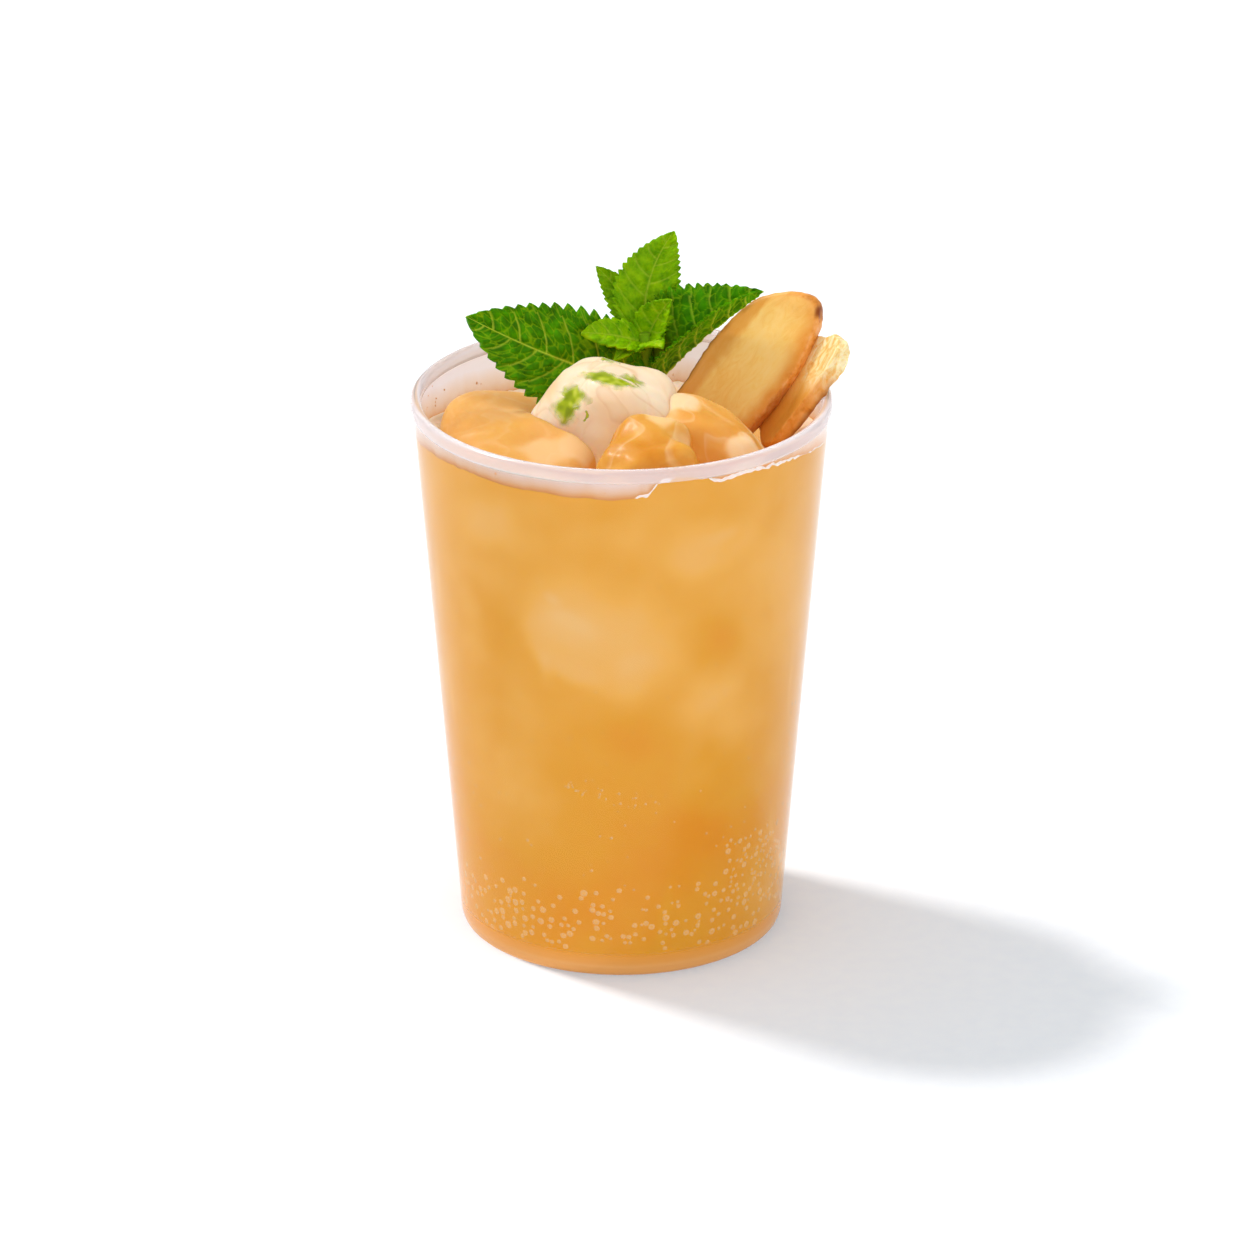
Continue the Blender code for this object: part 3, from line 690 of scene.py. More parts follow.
def wall_paleness(points):
    """How pale the drink looks at points of the wall: 0 deep, 0.35 middling, 1 ice just behind the wall,
    with painted highlights and painted shade laid on.
    """
    warped = points + 2.2 * np.stack([noise_at(points, 14, s) for s in (1.0, 2.0, 3.0)], axis=-1)
    angle = np.degrees(np.arctan2(warped[:, 0], -warped[:, 1]))
    height = warped[:, 2]
    pale = 0.20 + 0.20 * smoothstep(15, 100, height)
    for *oval, edge, strength, crisp in SUNK_ICE:
        pale = pale + ICE_PALER * strength * patch(angle, height, *oval, edge, crisp)
    # Deeper where no ice lies behind the wall; the long band on the left is painted shade.
    for *oval, strength in DEEP_DRINK_AND_PAINTED_SHADE:
        pale = pale - DRINK_DEEPER * strength * patch(angle, height, *oval, 1.0)
    # Painted highlights: gleams on sunk ice and pale streaks on the wall.
    for *oval, strength in PAINTED_GLEAMS:
        pale = pale + PAINTED_GLEAM_PALER * strength * patch(angle, height, *oval, 0.9)
    pale = pale + 0.07 * noise_at(warped, 9, 4.0) + 0.03 * noise_at(warped, 3.5, 5.0)
    return np.clip(pale, 0, 1)


# Bubbles, froth and pulp

BUBBLE_RINGS = (1.0, 0.93, 0.8, 0.62, 0.4, 0.2)
BUBBLE_SIDES = 14
BUBBLE_BULGE = 0.14
HIGHEST_BUBBLE = 104
# Where bubbles gather: middle angle and height, spread of each, how many, and the least and greatest radius.
BUBBLE_PLACES = [
    (-5, 12.5, 84, 8.0, 130, 0.55, 0.98), (0, 15.0, 80, 9.0, 90, 0.36, 0.70),
    (54, 23.0, 16, 9.0, 60, 0.40, 0.85), (180, 12.0, 95, 7.0, 170, 0.45, 0.95),
    (-12, 45.4, 8, 3.0, 17, 0.16, 0.34), (6, 43.3, 9, 3.4, 16, 0.16, 0.34),
    (0, 34.0, 80, 16.0, 50, 0.16, 0.40), (0, 72.0, 80, 30.0, 80, 0.10, 0.22),
    (180, 50.0, 95, 40.0, 90, 0.12, 0.32), (-78, 30.0, 6, 14.0, 26, 0.20, 0.50),
    (74, 40.0, 7, 22.0, 40, 0.18, 0.50),
]
# Folds of froth along the wet edge: angles from and to, and how thick.
FROTH = [(3.0, 15.0, 0.34), (19.5, 62.0, 0.38), (62, 80, 0.2)]
FROTH_SIDES = 8
PULP_SPECKS = 44
PULP_BELOW_RIM = 3.5
PLACING_TRIES = 20


def bubble_material():
    """A bubble that clings to the wall: a pale bright ring, a painted highlight, round a lens of drink."""
    made, tree = new_material("wall_bubble")
    ring = add_node(tree, "Attribute", attribute_name="ring")
    # The pale ring in these stops is a painted highlight on the bubble.
    tone = add_node(tree, "ValToRGB", {0: ring}, stops=[
        (0.0, "#E8AC58"), (0.45, "#EAB468"), (0.74, "#F1C892"), (0.9, "#EDBC7C"), (1.0, "#E6A444"),
    ])
    clearness = add_node(tree, "MapRange", {0: ring, 1: 1.0, 2: 0.66, 3: 0.0, 4: 0.68})
    film = add_node(tree, "BsdfPrincipled", {
        "Base Color": tone, "Roughness": 0.4, "Specular IOR Level": 0.2, "Alpha": clearness,
    })
    return finished(made, film, "#FFFFFF")


def make_bubbles():
    draw = random.Random(5)
    placed = []
    for middle, level, wide, high, count, least, most in BUBBLE_PLACES:
        for _ in range(count):
            for _ in range(PLACING_TRIES):
                angle = middle + draw.uniform(-wide, wide)
                height = level + draw.triangular(-high, high, -0.3 * high)
                size = least + (most - least) * draw.random() ** 1.4
                x = math.radians(angle) * wall_radius(height)
                free = all(math.hypot(x - a, height - b) > 0.95 * (size + c) for a, b, c, _ in placed)
                if free and FLOOR_HEIGHT + 1.2 < height < HIGHEST_BUBBLE:
                    placed.append((x, height, size, angle))
                    break
    discs = []
    for _, height, size, angle in placed:
        turn = math.radians(angle)
        out = Vector((math.sin(turn), -math.cos(turn), 0))
        right = Vector((math.cos(turn), math.sin(turn), 0))
        up = (Vector((0, 0, 1)) + out * WALL_SLOPE).normalized()
        centre = out * (wall_radius(height) - WALL + INTO_WALL + 0.04) + Vector((0, 0, height))
        rings = []
        for share in BUBBLE_RINGS:
            bulge = out * (BUBBLE_BULGE * size * math.sqrt(1 - share * share))
            ways = [right * math.cos(t) + up * math.sin(t) for t in full_turn(BUBBLE_SIDES)]
            rings.append([centre + way * size * share + bulge for way in ways])
        discs.append(closed_grid(rings, None, centre + out * BUBBLE_BULGE * size))
    shares = np.append(np.repeat(BUBBLE_RINGS, BUBBLE_SIDES), 0.0)
    values = {"ring": np.tile(shares, len(discs))}
    add_piece("wall_bubbles", *joined(discs), [bubble_material()], "drink", values=values)


def mottled_material(name, colours, roughness):
    """Matt food or froth, its two colours mottled over 0.8 mm, with a little light in it."""
    made, tree = new_material(name)
    mottle = add_node(tree, "TexNoise", {"Scale": per_metre(0.8), "Detail": 2.0})
    tone = add_node(tree, "ValToRGB", {0: mottle}, stops=zip((0.3, 0.7), colours))
    matt = add_node(tree, "BsdfPrincipled", {
        "Base Color": tone, "Roughness": roughness, "IOR": 1.34, "Subsurface Weight": 0.2,
        "Subsurface Scale": 0.5 * MM,
    })
    return finished(made, matt)


def make_froth():
    """Thin folds of white froth where the wet sheet ends."""
    folds = []
    for first, last, thick in FROTH:
        rings = []
        angles = np.arange(first, last, 0.35)
        for angle, height in zip(angles, wet_edge(angles)):
            along = (angle - first) / (last - first)
            uneven = 1 + 0.7 * noise_of(angle / 1.3, 0, thick)
            bulge = max(thick * min(1.0, 6 * along, 6 * (1 - along)) * uneven, 0.03)
            level = height + 0.35 * noise_of(angle / 2.5, 5, 0)
            radius = wall_radius(height) - WALL + 0.25
            deep = min(0.42, bulge)
            rings.append([
                round_cup(angle, radius + deep * math.cos(t), level + bulge * math.sin(t))
                for t in full_turn(FROTH_SIDES)
            ])
        points, faces = closed_grid(rings)
        ends = [range(FROTH_SIDES), range(len(points) - FROTH_SIDES, len(points))]
        folds.append((points, faces + ends))
    finish = mottled_material("ginger_froth", ("#F7E7DC", "#FBF3EE"), 0.35)
    add_piece("froth_on_wall", *joined(folds), [finish], "drink")


def make_pulp():
    """Specks of ginger pulp on the inside of the wall above the drink."""
    draw = random.Random(8)
    ball = bmesh.new()
    bmesh.ops.create_icosphere(ball, subdivisions=2, radius=1.0)
    shape = [v.co.copy() for v in ball.verts]
    sides = [tuple(v.index for v in f.verts) for f in ball.faces]
    ball.free()
    specks = []
    for _ in range(PULP_SPECKS):
        angle = draw.choice((draw.uniform(-175, -95), draw.uniform(-180, 180)))
        edge = float(wet_edge(np.array([angle]))[0])
        height = edge + abs(draw.gauss(0, 4.0)) + 0.4
        size = draw.uniform(0.10, 0.24)
        if height > CUP_HEIGHT - PULP_BELOW_RIM:
            continue
        centre = Vector(round_cup(angle, wall_radius(height) - WALL, height))
        stretch = Vector((draw.uniform(0.8, 1.6), draw.uniform(0.8, 1.2), draw.uniform(0.8, 1.6)))
        bumpy = [size * (1 + 0.3 * noise.noise(corner * 1.5 + centre)) for corner in shape]
        specks.append(([centre + corner * stretch * k for corner, k in zip(shape, bumpy)], sides))
    finish = mottled_material("ginger_pulp", ("#DDA06A", "#EBBE92"), 0.4)
    add_piece("pulp_on_wall", *joined(specks), [finish], "ginger")


# Ice

ICE_CUTS = 56
ICE_GAP = 0.3  # between a lump and the one that it is cut away from
RAY_START = 80  # how far before the ice the rays that look for its skin begin
SHARD_LIFT = 0.1
SHARD_COLUMNS = 28
SHARD_STEPS = 20


def turn_matrix(turn):
    """Rotation by degrees about x, then y, then z."""
    matrix = Matrix.Rotation(math.radians(turn[2]), 3, "Z")
    matrix @= Matrix.Rotation(math.radians(turn[1]), 3, "Y")
    return matrix @ Matrix.Rotation(math.radians(turn[0]), 3, "X")


def ice_block(name, grow=0.0):
    """A melting cube: a rounded block with dents, facets, swells and folds, in metres."""
    lump, look = ICE[name], ICE_LOOK[name]
    seed = lump.seed
    cube = bmesh.new()
    bmesh.ops.create_cube(cube, size=2.0)
    bmesh.ops.subdivide_edges(cube, edges=cube.edges, cuts=ICE_CUTS, use_grid_fill=True)
    bmesh.ops.triangulate(cube, faces=cube.faces)
    bmesh.ops.recalc_face_normals(cube, faces=cube.faces)
    turned = turn_matrix(lump.turn)
    planes = ice_facets(lump.half, look.facets, seed)
    for vertex in cube.verts:
        at = vertex.co / sum(abs(c) ** BLOCKINESS for c in vertex.co) ** (1 / BLOCKINESS)
        dent = noise.noise(at * 1.5 + Vector((seed, 0, 0)))
        pit = noise.noise(at * 3.6 + Vector((0, seed, 0)))
        size = Vector([c * (h + grow) for c, h in zip(at, lump.half)])
        ripple = 0.05 * noise.noise(size / 3.2 + Vector((0, 0, seed)))
        hollow = look.melt * noise.noise(size / 7.5 + Vector((seed, seed, 0)))
        size += at.normalized() * (lump.uneven * (dent + 0.15 * pit) + (ripple + hollow))
        for normal, reach in planes:
            beyond = size.dot(normal) - reach - grow
            if beyond > 0:
                size -= normal * beyond * look.flat
        spot = turned @ size + Vector(lump.centre)
        push = look.folds * 0.25 * fold_at(spot, seed)
        for place, reach, rise in lump.swells:
            push += rise * math.exp(-(((spot - Vector(place)).length / reach) ** 2))
        vertex.co = (spot + (turned @ at.normalized()) * push) * MM
    mesh = bpy.data.meshes.new(name)
    cube.to_mesh(mesh)
    cube.free()
    return mesh


def fold_at(spot, seed):
    """How much of a soft fold is here, where films of melting ice ran together: 0 to 1."""
    coarse = noise.noise(spot / 9.0 + Vector((seed, 4, -seed)))
    fine = noise.noise(spot / 5.0 + Vector((-seed, 9, seed)))
    there = noise.noise(spot / 11 + Vector((3, seed, 0)))
    share = math.exp(-((coarse / 0.07) ** 2)) * min(1.0, max(0.0, 0.5 + 2.5 * there))
    return max(share, 0.6 * math.exp(-((fine / 0.08) ** 2)) * min(1.0, max(0.0, 0.1 - 3 * there)))


def ice_facets(half, count, seed):
    """Planes that flatten the block where it broke or lay against another, as (normal, reach)."""
    draw = random.Random(seed)
    planes = []
    for _ in range(count):
        normal = Vector([draw.uniform(-1, 1) for _ in half]).normalized()
        reach = sum((n * h) ** 2 for n, h in zip(normal, half)) ** 0.5
        planes.append((normal, reach * draw.uniform(0.93, 1.04)))
    return planes


def ice_material(name, look):
    """Melting ice with air frozen in it: frosted and glassy, milky in its core, with a wet skin."""
    made, tree = new_material(name)
    haze = add_node(tree, "Attribute", attribute_name="haze")
    cloud = add_node(tree, "TexNoise", {"Scale": per_metre(5), "Detail": 3.0})
    wet = {
        "IOR": 1.31, "Normal": ripples(tree, 3.5, 2.0, 0.1, 0.3), "Coat Weight": 0.1, "Coat Roughness": 0.2,
        "Coat IOR": 1.33,
    }
    clear = add_node(tree, "BsdfPrincipled", {
        "Base Color": linear(look.glass), "Roughness": 0.3, "Transmission Weight": 1.0, **wet,
    })
    flow = add_node(tree, "TexNoise", {"Scale": per_metre(12), "Detail": 1.0, "Distortion": 0.4})
    edge = add_node(
        tree, "ValToRGB", {0: flow}, stops=[(0.440, "#000000"), (0.495, "#FFFFFF"), (0.515, "#000000")]
    )
    shown = add_node(tree, "Math", {0: edge, 1: look.films}, operation="MULTIPLY")
    tone = painted(
        tree, linear(look.milk), ("amber", look.stain), ("crack", look.fold), (shown, look.film)
    )
    milk = add_node(tree, "BsdfPrincipled", {
        "Base Color": tone, "Roughness": 0.5, "Subsurface Weight": 0.5, "Subsurface Radius": (1.0, 0.6, 0.3),
        "Subsurface Scale": 3 * MM, **wet,
    })
    patchy = add_node(tree, "Math", {0: cloud, 1: 0.3, 2: haze}, operation="MULTIPLY_ADD", use_clamp=True)
    return finished(made, add_node(tree, "MixShader", {0: patchy, 1: clear, 2: milk}), "#F6E3C2")


def cut_away(mesh, cutters):
    """The mesh without what the cutters hold."""
    body = bpy.data.objects.new("to_cut", mesh)
    bpy.context.scene.collection.objects.link(body)
    for cutter_mesh in cutters:
        cutter = bpy.data.objects.new("cutter", cutter_mesh)
        bpy.context.scene.collection.objects.link(cutter)
        boolean = body.modifiers.new("cut", "BOOLEAN")
        boolean.operation = "DIFFERENCE"
        boolean.solver = "EXACT"
        boolean.object = cutter
        graph = bpy.context.evaluated_depsgraph_get()
        graph.update()
        body.data = bpy.data.meshes.new_from_object(body.evaluated_get(graph))
        body.modifiers.clear()
        bpy.data.objects.remove(cutter, do_unlink=True)
    made = body.data
    bpy.data.objects.remove(body, do_unlink=True)
    return made


def near_places(points, places, uneven, border):
    """How much of the listed places is at each point, with an uneven border."""
    share = np.zeros(len(points))
    for spot, reach, strength in places:
        away = np.linalg.norm(points - np.array(spot), axis=1) / reach + uneven
        share = np.maximum(share, strength * (1 - smoothstep(*border, away)))
    return share


def make_ice(settings):
    names = list(ICE)
    for i, name in enumerate(names):
        look, seed = ICE_LOOK[name], ICE[name].seed
        mesh = ice_block(name)
        if name == "ice_centre":
            sink_mint(mesh)
        mesh = cut_away(mesh, [ice_block(other, grow=ICE_GAP) for other in names[:i]])
        points = np.array([v.co for v in mesh.vertices]) / MM
        faces = [tuple(p.vertices) for p in mesh.polygons]
        haze = look.haze + look.patchy * noise_at(points, 7.0, seed) - 0.15
        crack = np.array([fold_at(Vector(p), seed) for p in points])
        crack = np.clip(crack * look.folds * settings.cracks, 0, 1)
        uneven = 0.5 * noise_at(points, 3.6, seed)
        crack = np.maximum(crack, near_places(points, PALE_PLACES.get(name, ()), uneven, (0.6, 1.25)))
        haze = np.clip(haze + 0.5 * crack, 0, 1)
        uneven = 0.3 * noise_at(points, 4.0, seed + 3)
        amber = near_places(points, AMBER_PLACES[name], uneven, (0.4, 1.6))
        amber = np.clip(amber + 0.25 * look.patchy * noise_at(points, 5.0, seed + 8), 0, 1)
        add_piece(
            name + "_lump", points, faces, [ice_material(name + "_frozen", look)], "ice",
            nodes=[name], values={"haze": haze, "crack": crack, "amber": amber},
        )


def sink_mint(mesh):
    """Torn bits of mint frozen just under the skin of the central lump."""
    surface = BVHTree.FromPolygons([v.co / MM for v in mesh.vertices], [p.vertices for p in mesh.polygons])
    fall = math.radians(CAMERA_HEIGHT_ANGLE)
    towards = Vector((0, math.cos(fall), -math.sin(fall)))
    bits, edges, tones = [], [], []
    stride = SHARD_COLUMNS + 1
    for number, (spine, width) in enumerate(SUNK_MINT):
        line = smooth_curve([Vector((x, 0, z)) for x, z in spine], SHARD_STEPS)
        last = len(line) - 1
        points, faces = [], []
        for i, middle in enumerate(line):
            s = i / last
            way = heading(line, i)
            across = Vector((way.z, 0, -way.x))
            half = width * (0.2 + math.sin(math.pi * s) ** 0.6)
            for j in range(stride):
                t = 2 * j / SHARD_COLUMNS - 1
                side = 5.0 if t > 0 else 9.0
                ragged = 1 + 0.55 * noise_of(5 * s, number, side)
                ragged += 0.25 * noise_of(13 * s, number, side)
                hit = surface.ray_cast(middle + across * t * half * ragged - towards * RAY_START, towards)
                spot, normal = hit[:2] if hit[0] else (middle, Vector((0, -1, 0)))
                points.append(spot + normal * SHARD_LIFT)
                torn = 0.5 * noise.noise(spot / 1.7 + Vector((7, 0, 3 * number)))
                whole = smoothstep(0.0, 0.8, min(1 - abs(t), 3.5 * s, 3.5 * (1 - s)) + torn * abs(t))
                edges.append(whole * smoothstep(0.1, 0.45, -normal.dot(towards)) if hit[0] else 0.0)
                tones.append(0.5 + 0.7 * noise.noise(spot / 1.5 + Vector((0, 0, 3 * number))))
        for a in (row * stride + j for row in range(last) for j in range(SHARD_COLUMNS)):
            faces.append((a, a + 1, a + stride + 1, a + stride))
        bits.append((points, faces))
    made, tree = new_material("mint_under_ice")
    edge = add_node(tree, "Attribute", attribute_name="edge")
    tone = add_node(tree, "Attribute", attribute_name="tone")
    green = add_node(
        tree, "ValToRGB", {0: tone}, stops=[(0.15, "#7E8E00"), (0.50, "#9CAC06"), (0.85, "#BEC63A")]
    )
    blurred = add_node(tree, "Math", {0: edge, 1: 1.1}, operation="MULTIPLY", use_clamp=True)
    leaf = add_node(tree, "BsdfPrincipled", {
        "Base Color": green, "Roughness": 0.2, "IOR": 1.33, "Alpha": blurred,
    })
    values = {"edge": edges, "tone": tones}
    add_piece("mint_under_ice", *joined(bits), [finished(made, leaf, "#FFFFFF")], "mint", values=values)


# Ginger

OUTLINE_STEPS = 16
# Shares of the flesh's red, green and blue, from its darkest fibres to its lightest.
FLESH_SHARES = ((0.97, 0.84, 0.60), (1.0, 0.97, 0.90), (1.02, 1.04, 1.08), (1.03, 1.10, 1.35))
FLESH_MOST = 1.2  # the greatest sum of fibre and cloud in the flesh


def ginger_material(settings):
    """Fresh ginger root, sliced: wet yellow flesh with short fibres, and a thin skin, brown at the tip."""
    made, tree = new_material("ginger_root")
    place = add_node(tree, "Attribute", attribute_name="slice_place").outputs["Vector"]
    long_way = add_node(tree, "Mapping", {"Vector": place, "Scale": (0.35, 0.8, 0.8)})
    fibre = add_node(
        tree, "TexNoise",
        {"Vector": long_way, "Scale": 0.6, "Detail": 6.0, "Roughness": 0.6, "Distortion": 2.2},
    )
    cloudy = add_node(tree, "TexNoise", {"Vector": place, "Scale": 0.09, "Detail": 3.0})
    uneven = add_node(tree, "Math", {0: cloudy, 1: 0.9, 2: fibre}, operation="MULTIPLY_ADD")
    shade = add_node(tree, "Math", {0: uneven, 1: 1 / FLESH_MOST}, operation="MULTIPLY")
    tones = [tuple(share * part for share, part in zip(shares, settings.flesh)) for shares in FLESH_SHARES]
    stops = zip([spot / FLESH_MOST for spot in (0.62, 0.86, 1.0, FLESH_MOST)], tones)
    flesh = add_node(tree, "ValToRGB", {0: shade}, stops=stops)
    strip = add_node(
        tree, "ValToRGB", {0: fibre},
        stops=[(0.34, "#EFB45C"), (0.46, "#F6D48C"), (0.58, "#FBE8B4"), (0.75, "#FDF2CE")],
    )
    bark = add_node(tree, "TexNoise", {"Vector": place, "Scale": 0.55, "Detail": 5.0, "Roughness": 0.6})
    bark_tone = add_node(
        tree, "ValToRGB", {0: bark},
        stops=[(0.30, "#C87424"), (0.44, "#E4933A"), (0.62, "#F0A85C"), (0.85, "#F6C890")],
    )
    # The rind colour is real rind and also painted shade: a darker band on the front slice, and the front
    # slice's shadow on the back slice.
    whole = painted(
        tree, flesh, ("torn", strip), ("rind_and_painted_shade", "#E08C26"), ("skin", bark_tone), ("brown", "#7C3008")
    )
    bump = add_node(tree, "Bump", {"Strength": 0.2, "Distance": 0.2 * MM, "Height": fibre})
    root = add_node(tree, "BsdfPrincipled", {
        "Base Color": whole, "Roughness": 0.40, "IOR": 1.40, "Specular IOR Level": 0.25,
        "Subsurface Weight": 0.2, "Subsurface Radius": (1.0, 0.6, 0.2), "Subsurface Scale": 1.5 * MM,
        "Normal": bump,
    })
    return finished(made, root)


def slice_layers(thickness, narrow):
    """Rings of a slice, as (share of its outline, depth, width, how much at its side)."""
    rounding = 0.2 * thickness
    flat = (0.1, 0.25, 0.4, 0.55, 0.68, 0.79, 0.87, 0.92)
    turns = [math.radians(turn) for turn in (20, 45, 70, 90)]
    bends = [(0.93 + 0.06 * math.sin(t), rounding * (1 - math.cos(t))) for t in turns]
    layers = [(share, thickness, narrow, 0.0) for share in flat]
    layers += [(share, thickness - drop, narrow, 1.0) for share, drop in bends]
    layers += [(1.0, thickness * s, narrow + (1 - narrow) * (1 - s), 1.0) for s in (0.65, 0.5, 0.35)]
    layers += [(share, drop, 1.0, 1.0) for share, drop in bends[::-1]]
    return layers + [(share, 0.0, 1.0, 0.0) for share in flat[-2::-1]]


def slice_piece(name, finish, outline, place, along, facing, thickness, narrow, bow):
    """A slice of ginger, with fibres standing a little out of its faces and wrinkles in its skin."""
    normal = Vector(facing).normalized()
    length_way = (Vector(along) - normal * normal.dot(Vector(along))).normalized()
    width_way = normal.cross(length_way)
    edge = smooth_curve(outline, OUTLINE_STEPS, closed=True)
    middle = sum(edge, Vector((0, 0))) / len(edge)
    reach = max(abs(point.x - middle.x) for point in edge)
    rings, places = [], []
    front = name.endswith("front")
    values = {"skin": [], "rind_and_painted_shade": [], "brown": []}
    for share, depth, width, side in slice_layers(thickness, narrow):
        ring = []
        for point in edge:
            flat = middle + (point - middle) * share
            x = flat.x
            across = middle.y + (flat.y - middle.y) * width
            bend = bow * ((x - middle.x) / reach) ** 2
            wave = 0.25 * noise_of(x * 0.12, across * 0.3, depth * 0.2)
            on_face = 1.0 if depth > thickness / 2 else -1.0
            fibres = 0.06 * noise_of(x * 0.10, across * 1.1, depth) * (1 - side)
            out = (point - middle).normalized()
            wrinkle = side * (0.30 if front else 0.55) * noise_of(x * 0.6, across * 0.6, depth * 0.9)
            spot = Vector(place) + length_way * (x + out.x * wrinkle)
            spot += width_way * (across + out.y * wrinkle)
            spot += normal * (depth + bend + wave + fibres * on_face)
            ring.append(spot)
            places.append((x, across, depth))
            far = (point.x - middle.x) / reach
            ragged = 0.10 * noise_of(x * 0.35, across * 0.35, 7.0)
            lower = smoothstep(0.3, -0.4, out.y) * (1.0 if front else smoothstep(6, -2, x))
            end = smoothstep(0.5, 0.95, far) if front else 0.0
            on_edge = 0.75 * smoothstep(0.74, 0.99, share + ragged) * (0.7 if on_face > 0 else 1)
            values["skin"].append(max(side, on_edge) * max(lower, end) * (1.0 if front else 0.6))
            if front:
                # Front slice: a darker amber band along the upper side, partly rind and partly painted
                # shade, and a real rind border below and at the top.
                painted_shade_band = 0.62 * smoothstep(4.9, 5.5, across - 0.035 * x + 4 * ragged) * smoothstep(29, 24, x)
                border = 0.95 * smoothstep(0.56, 0.92, share + 0.8 * ragged) * smoothstep(0.2, -0.5, out.y)
                top = 0.7 * smoothstep(0.84, 1.0, share + 0.5 * ragged) * smoothstep(0.7, 0.9, far)
                rind_and_painted_shade = max(painted_shade_band, border, top)
            else:
                # Back slice: painted shadow of the front slice over its lower left.
                rind_and_painted_shade = 0.85 * smoothstep(3, -7, x + 0.5 * across + 8 * ragged)
            values["rind_and_painted_shade"].append(rind_and_painted_shade)
            rim = smoothstep(0.88, 0.99, share + 0.5 * ragged)
            worn = noise_of(x * 0.4, across * 0.4, depth * 0.7)
            tip = smoothstep(0.78, 0.88, far + 1.5 * ragged) * smoothstep(0.35, -0.1, out.y) * front
            tip *= smoothstep(0.93, 0.99, share + 0.4 * ragged) * smoothstep(-0.45, 0.15, worn)
            foot = smoothstep(0.25, 0.0, far + 1.2 * ragged) * rim * lower
            foot *= 0.4 if front else 0.75 * smoothstep(1.5, 0.3, depth + 3 * ragged)
            values["brown"].append(max(0.9 * tip, 0.55 * rim * smoothstep(0.2, 0.8, out.y) * front, foot))
        rings.append(ring)
    poles = [sum(ring, Vector()) / len(edge) for ring in (rings[0], rings[-1])]
    points, faces = closed_grid([np.array([tuple(p) for p in ring]) for ring in rings], *poles)
    places += [(middle.x, middle.y, thickness), (middle.x, middle.y, 0.0)]
    values = {key: found + [0, 0] for key, found in values.items()}
    values["torn"] = [0.0 if front else smoothstep(-4, 3, p[0] - 0.8 * p[1]) for p in places]
    piece = add_piece(name + "_cut", points, faces, [finish], "ginger", nodes=[name], values=values)
    layer = piece.data.attributes.new("slice_place", "FLOAT_VECTOR", "POINT")
    layer.data.foreach_set("vector", np.array(places, np.float32).ravel())


def make_ginger(settings):
    finish = ginger_material(settings)
    for name, shape in GINGER.items():
        slice_piece(name, finish, *shape)


# Mint

LEAF_STEP = 0.2  # spacing of a leaf's points
BLADE_SHARES = (0.55, 1.0, 1.5)  # of the blade's colour, from its darkest spots to its lightest
STEM_SIDES = 24


def mint_material(settings):
    """Fresh mint leaf: a quilted green blade with paler veins, thin enough for light to come through."""
    made, tree = new_material("mint_leaf")
    blotch = add_node(tree, "TexNoise", {"Scale": per_metre(2.4), "Detail": 4.0})
    shades = [[share * part for part in settings.blade] for share in BLADE_SHARES]
    blade, fresh = [
        add_node(tree, "ValToRGB", {0: blotch}, stops=zip((0.30, 0.50, 0.72), tones))
        for tones in (shades, ("#5E9A00", "#84B400", "#A6C800"))
    ]
    tone = painted(
        tree, blade, ("young", fresh), ("net", "#8CBA0E"), ("vein", "#C2D63C"), ("bruise", "#8A7C10")
    )
    leaf = add_node(tree, "BsdfPrincipled", {
        "Base Color": tone, "Roughness": 0.45, "IOR": 1.42, "Specular IOR Level": 0.06,
        "Subsurface Weight": 0.3, "Subsurface Radius": (0.5, 1.0, 0.1), "Subsurface Scale": 0.6 * MM,
        "Normal": ripples(tree, 0.5, 2.0, 0.25, 0.1),
    })
    return finished(made, leaf)


